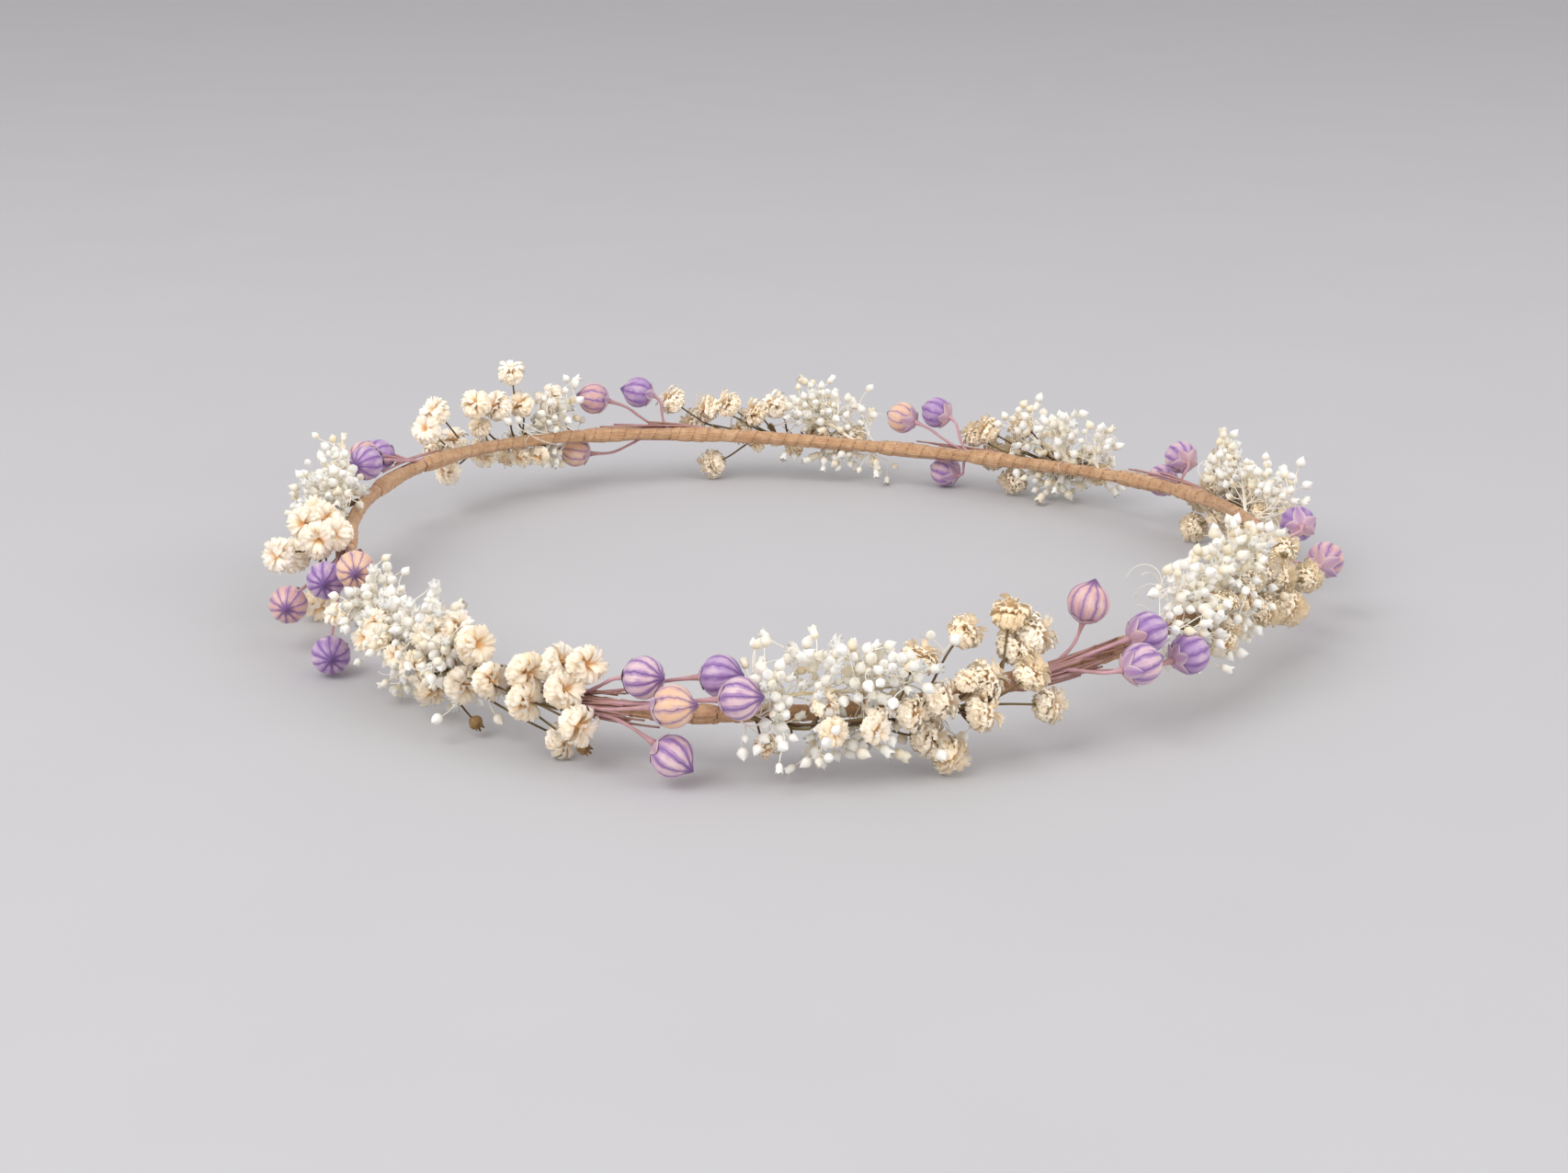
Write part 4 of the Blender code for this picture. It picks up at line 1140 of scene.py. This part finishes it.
def build_gypsophila(node, hoop, settings, materials, top_yellow, chance):
    """A branching sprig of olive stems, each with a ball of petals, and a few withered leaves.

    Its highest flower is yellower than the rest where top_yellow is true.
    """
    points, faces = solid(node)
    line = tucked_line(stalk_line(points, faces, hoop, 0.5 * MM), hoop, 1.2 * MM)
    surface = Surface()
    across, side = carried(line)
    loose = np.clip(np.linspace(0, 5, len(line)), 0.4, 1) * np.linspace(0.3, 0.62, len(line)) * MM
    for k in range(6):
        twist = np.linspace(0, chance.uniform(2, 5), len(line)) + k / 6 * math.tau
        strand = line + spun(across, side, twist) * loose[:, None]
        thick = np.linspace(0.5, 0.3, len(line)) * settings.stalk
        add_tube(surface, strand, thick, 7, TWIG, chance.uniform())
    heads = balls(points, faces, *HEAD_RADII)
    top = max(centre[2] for centre, _ in heads)
    for centre, radius in heads:
        root = max(1, min(nearest_on(line, centre) - int(chance.integers(4, 9)), len(line) - 2))
        heading = line[root + 1] - line[root - 1]
        way = strewn(centre - line[root], 0.0, 0.35, chance)
        stem = bent(line[root], heading, centre - way * (0.8 * radius), way, 12)
        thick = np.linspace(0.55, 0.42, 12) * settings.stem
        add_tube(surface, stem, thick, 7, TWIG, chance.uniform())
        tip = stem[5] + strewn(stem[7] - stem[5], 0.2, 0.6, chance) * 1.8 * MM
        add_leaf(surface, stem[5], tip, heading, 0.7 * MM, 0.2, LEAF, chance.uniform())
        tint = 0.6 if top_yellow and centre[2] == top else chance.uniform(0, 0.3)
        add_flower(surface, centre, way, radius * settings.bloom, settings, tint, chance)
    for centre, radius in balls(points, faces, *SEED_RADII):
        root = max(1, min(nearest_on(line, centre) - int(chance.integers(4, 9)), len(line) - 2))
        way = unit(centre - line[root])
        heading = line[root + 1] - line[root - 1]
        stem = bent(line[root], heading, centre - way * (0.9 * radius), way, 12)
        add_tube(surface, stem, np.linspace(0.5, 0.38, 12) * settings.stem, 7, TWIG, chance.uniform())
        add_seed_head(surface, centre, way, radius, chance)
    clear = others_tree(node)
    taken = balls(points, faces, *HEAD_AND_SEED_RADII)
    wanted = len(taken) + settings.small_heads
    for _ in range(150):
        radius = chance.uniform(2.1, 2.9) * MM
        root = int(chance.integers(5, len(line) - 2))
        way = strewn(line[root + 1] - line[root - 1], 0.5, 2.0, chance)
        centre = line[root] + way * chance.uniform(3.0, 7.0) * MM
        if len(taken) < wanted and has_room(centre, radius, taken, clear, hoop):
            taken.append((centre, radius))
            heading = line[root + 1] - line[root - 1]
            stem = bent(line[root], heading, centre - way * (0.8 * radius), way, 9)
            add_tube(surface, stem, np.linspace(0.5, 0.4, 9) * settings.stem, 6, TWIG, chance.uniform())
            add_flower(surface, centre, way, radius * settings.bloom, settings, chance.uniform(0, 0.35),
                       chance)
    for _ in range(14):
        start = line[int(chance.integers(7, len(line) - 3))]
        way = strewn(square_to(line[-1] - line[0], chance.uniform()) + 0.6 * unit(line[-1] - line[0]),
                     0.0, 0.4, chance)
        tip = start + way * chance.uniform(2.5, 4.5) * MM
        if tip[2] > FRAME_BOX[0][2] + MM and clear.find_nearest(tip.tolist())[3] > 0.5 * MM:
            add_leaf(surface, start, tip, square_to(way, chance.uniform()),
                     chance.uniform(0.8, 1.4) * MM, chance.uniform(0.1, 0.5), TWIG,
                     chance.uniform(0.4, 1.0))
    surface.piece("dried_" + node, materials, node)


# Operators

def viewpoint(settings):
    """The camera's place in front of the crown."""
    back = settings.distance * math.cos(settings.elevation)
    rise = settings.distance * math.sin(settings.elevation)
    return Vector((0.0, -back, Hoop().height[0] + rise))


class FLOWERCROWN_OT_stage(bpy.types.Operator):
    """Lay the floor and set the soft lights and the camera"""
    bl_idname = "flower_crown.stage"
    bl_label = "Stage"

    def execute(self, context):
        settings = context.scene.flower_crown.stage
        middle = Vector((0.0, 0.0, Hoop().height[0]))
        self.lay_floor(context, settings)
        self.set_lights(context, settings, middle)
        self.set_camera(context, settings)
        context.scene.view_settings.view_transform = "Standard"
        return {"FINISHED"}

    def lay_floor(self, context, settings):
        half = settings.floor_width / 2
        low = FRAME_BOX[0][2]
        corners = [(-half, -half, low), (half, -half, low), (half, half, low), (-half, half, low)]
        mesh = bpy.data.meshes.new("floor")
        mesh.from_pydata(corners, [], [(0, 1, 2, 3)])
        mesh.materials.append(dull_floor(settings))
        floor = bpy.data.objects.new("floor", mesh)
        context.scene.collection.objects.link(floor)

    def set_lights(self, context, settings, middle):
        """A large soft light high on the left, a weaker one on the right, and a pale room."""
        places = (
            ("key_light", settings.key_power, 1.1, (-0.8, -0.75, 1.15)),
            ("fill_light", settings.fill_power, 1.4, (1.1, -0.6, 0.9)),
        )
        for name, power, size, place in places:
            lamp = bpy.data.lights.new(name, "AREA")
            lamp.energy = power
            lamp.size = size
            made = bpy.data.objects.new(name, lamp)
            made.location = place
            made.rotation_euler = (middle - made.location).to_track_quat("-Z", "Y").to_euler()
            context.scene.collection.objects.link(made)
        room = bpy.data.worlds.new("room")
        room.use_nodes = True
        air = room.node_tree.nodes["Background"]
        air.inputs["Color"].default_value = paint("#F1EFF2")
        air.inputs["Strength"].default_value = settings.room_light
        context.scene.world = room

    def set_camera(self, context, settings):
        lens = bpy.data.cameras.new("camera")
        lens.lens = settings.lens
        lens.sensor_width = 36.0
        lens.clip_start = 10 * MM
        camera = bpy.data.objects.new("camera", lens)
        camera.location = viewpoint(settings)
        pitch = math.pi / 2 - settings.elevation - settings.tilt
        camera.rotation_euler = (pitch, 0.0, settings.turn)
        context.scene.collection.objects.link(camera)
        context.scene.camera = camera


class FLOWERCROWN_OT_wire(bpy.types.Operator):
    """Give the hoop its lacquered wire"""
    bl_idname = "flower_crown.wire"
    bl_label = "Hoop wire"

    def execute(self, context):
        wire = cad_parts["hoop_wire"].data
        wire.materials.clear()
        wire.materials.append(lacquered_wire())
        return {"FINISHED"}


class FLOWERCROWN_OT_tape(bpy.types.Operator):
    """Wind the paper tape over the hoop and the cut stems"""
    bl_idname = "flower_crown.tape"
    bl_label = "Paper tape"

    def execute(self, context):
        settings = context.scene.flower_crown.tape
        paper = crepe_paper(settings)
        hoop = Hoop()
        for node in nodes_named("tape"):
            wind_tape(node, hoop, settings, paper)
        return {"FINISHED"}


class FLOWERCROWN_OT_bolls(bpy.types.Operator):
    """Make the dyed flax bolls on their stems"""
    bl_idname = "flower_crown.bolls"
    bl_label = "Flax bolls"

    # How far the dye has spread in each kind of husk
    DYED = {"lilac": 0.85, "violet": 1.0, "peach": 0.35, "rose": 0.6}
    # The kind of each boll, bunch by bunch
    KINDS = (
        "violet peach rose violet", "lilac peach lilac violet lilac", "rose violet lilac violet",
        "rose violet violet", "lilac lilac", "violet peach lilac", "rose violet peach",
        "violet rose violet",
    )

    def execute(self, context):
        settings = context.scene.flower_crown.boll
        hoop = Hoop()
        sepal = dry_sepal(settings)
        stem = dry_plant("Dyed flax stem", settings.stem_colour, linear("#A9806F"), 2.5)
        husks = {
            kind: dyed_husk("Dyed flax husk, " + kind, getattr(settings, kind), dyed, settings)
            for kind, dyed in self.DYED.items()
        }
        for bunch, kinds in enumerate(self.KINDS, 1):
            for number, kind in enumerate(kinds.split(), 1):
                chance = np.random.default_rng(100 * bunch + number)
                build_boll(f"flax_boll_{bunch}_{number}", hoop, settings,
                           [husks[kind], sepal, stem], chance)
        return {"FINISHED"}


class FLOWERCROWN_OT_white_sprigs(bpy.types.Operator):
    """Make the bleached sprigs with their fine stalks and buds"""
    bl_idname = "flower_crown.white_sprigs"
    bl_label = "Bleached sprigs"

    def execute(self, context):
        settings = context.scene.flower_crown.sprig
        bud = bleached_bud(settings)
        stalk = dry_plant("Bleached stalk", settings.white, settings.cream, 3.0)
        hoop = Hoop()
        for number, node in enumerate(nodes_named("white_sprig"), 1):
            build_white_sprig(node, hoop, settings, [bud, stalk], np.random.default_rng(40 + number))
        return {"FINISHED"}


class FLOWERCROWN_OT_gypsophila(bpy.types.Operator):
    """Make the double gypsophila with its petals, stems and seed heads"""
    bl_idname = "flower_crown.gypsophila"
    bl_label = "Gypsophila"

    YELLOW_BUNCH = 2

    def execute(self, context):
        settings = context.scene.flower_crown.gypsophila
        petal = dry_petal(settings)
        stem = dry_plant("Dried gypsophila stem", settings.olive, settings.brown, 3.5)
        sepal = dry_plant("Dried gypsophila sepal", linear("#B7A16A"), linear("#E0D0A4"), 1.2)
        seed = dry_plant("Ripe seed head", settings.seed, linear("#6E5130"), 0.8)
        hoop = Hoop()
        for number, node in enumerate(nodes_named("gypsophila"), 1):
            build_gypsophila(node, hoop, settings, [petal, stem, sepal, seed],
                             number == self.YELLOW_BUNCH, np.random.default_rng(70 + number))
        return {"FINISHED"}


class FLOWERCROWN_PT_panel(bpy.types.Panel):
    """Sizes, colours and the steps that build the crown"""
    bl_idname = "FLOWERCROWN_PT_panel"
    bl_label = "Flower crown"
    bl_space_type = "VIEW_3D"
    bl_region_type = "UI"
    bl_category = "Flower crown"

    def draw(self, context):
        settings = context.scene.flower_crown
        for name in ("stage", "tape", "boll", "sprig", "gypsophila"):
            group = getattr(settings, name)
            box = self.layout.box()
            box.label(text=name.capitalize())
            for prop in group.bl_rna.properties:
                if not prop.is_readonly and prop.identifier != "name":
                    box.prop(group, prop.identifier)
        for step in STEPS:
            self.layout.operator(step.bl_idname)


STEPS = (
    FLOWERCROWN_OT_stage,
    FLOWERCROWN_OT_wire,
    FLOWERCROWN_OT_tape,
    FLOWERCROWN_OT_bolls,
    FLOWERCROWN_OT_white_sprigs,
    FLOWERCROWN_OT_gypsophila,
)
CLASSES = (
    StageSettings, TapeSettings, BollSettings, SprigSettings, GypsophilaSettings, CrownSettings,
    *STEPS, FLOWERCROWN_PT_panel,
)


def register():
    for kind in CLASSES:
        bpy.utils.register_class(kind)
    bpy.types.Scene.flower_crown = PointerProperty(type=CrownSettings)


def unregister():
    del bpy.types.Scene.flower_crown
    for kind in reversed(CLASSES):
        bpy.utils.unregister_class(kind)


def main():
    register()
    bpy.ops.flower_crown.stage()
    bpy.ops.flower_crown.wire()
    bpy.ops.flower_crown.tape()
    bpy.ops.flower_crown.bolls()
    bpy.ops.flower_crown.white_sprigs()
    bpy.ops.flower_crown.gypsophila()
    bpy.context.view_layer.update()


if __name__ == "__main__":
    main()
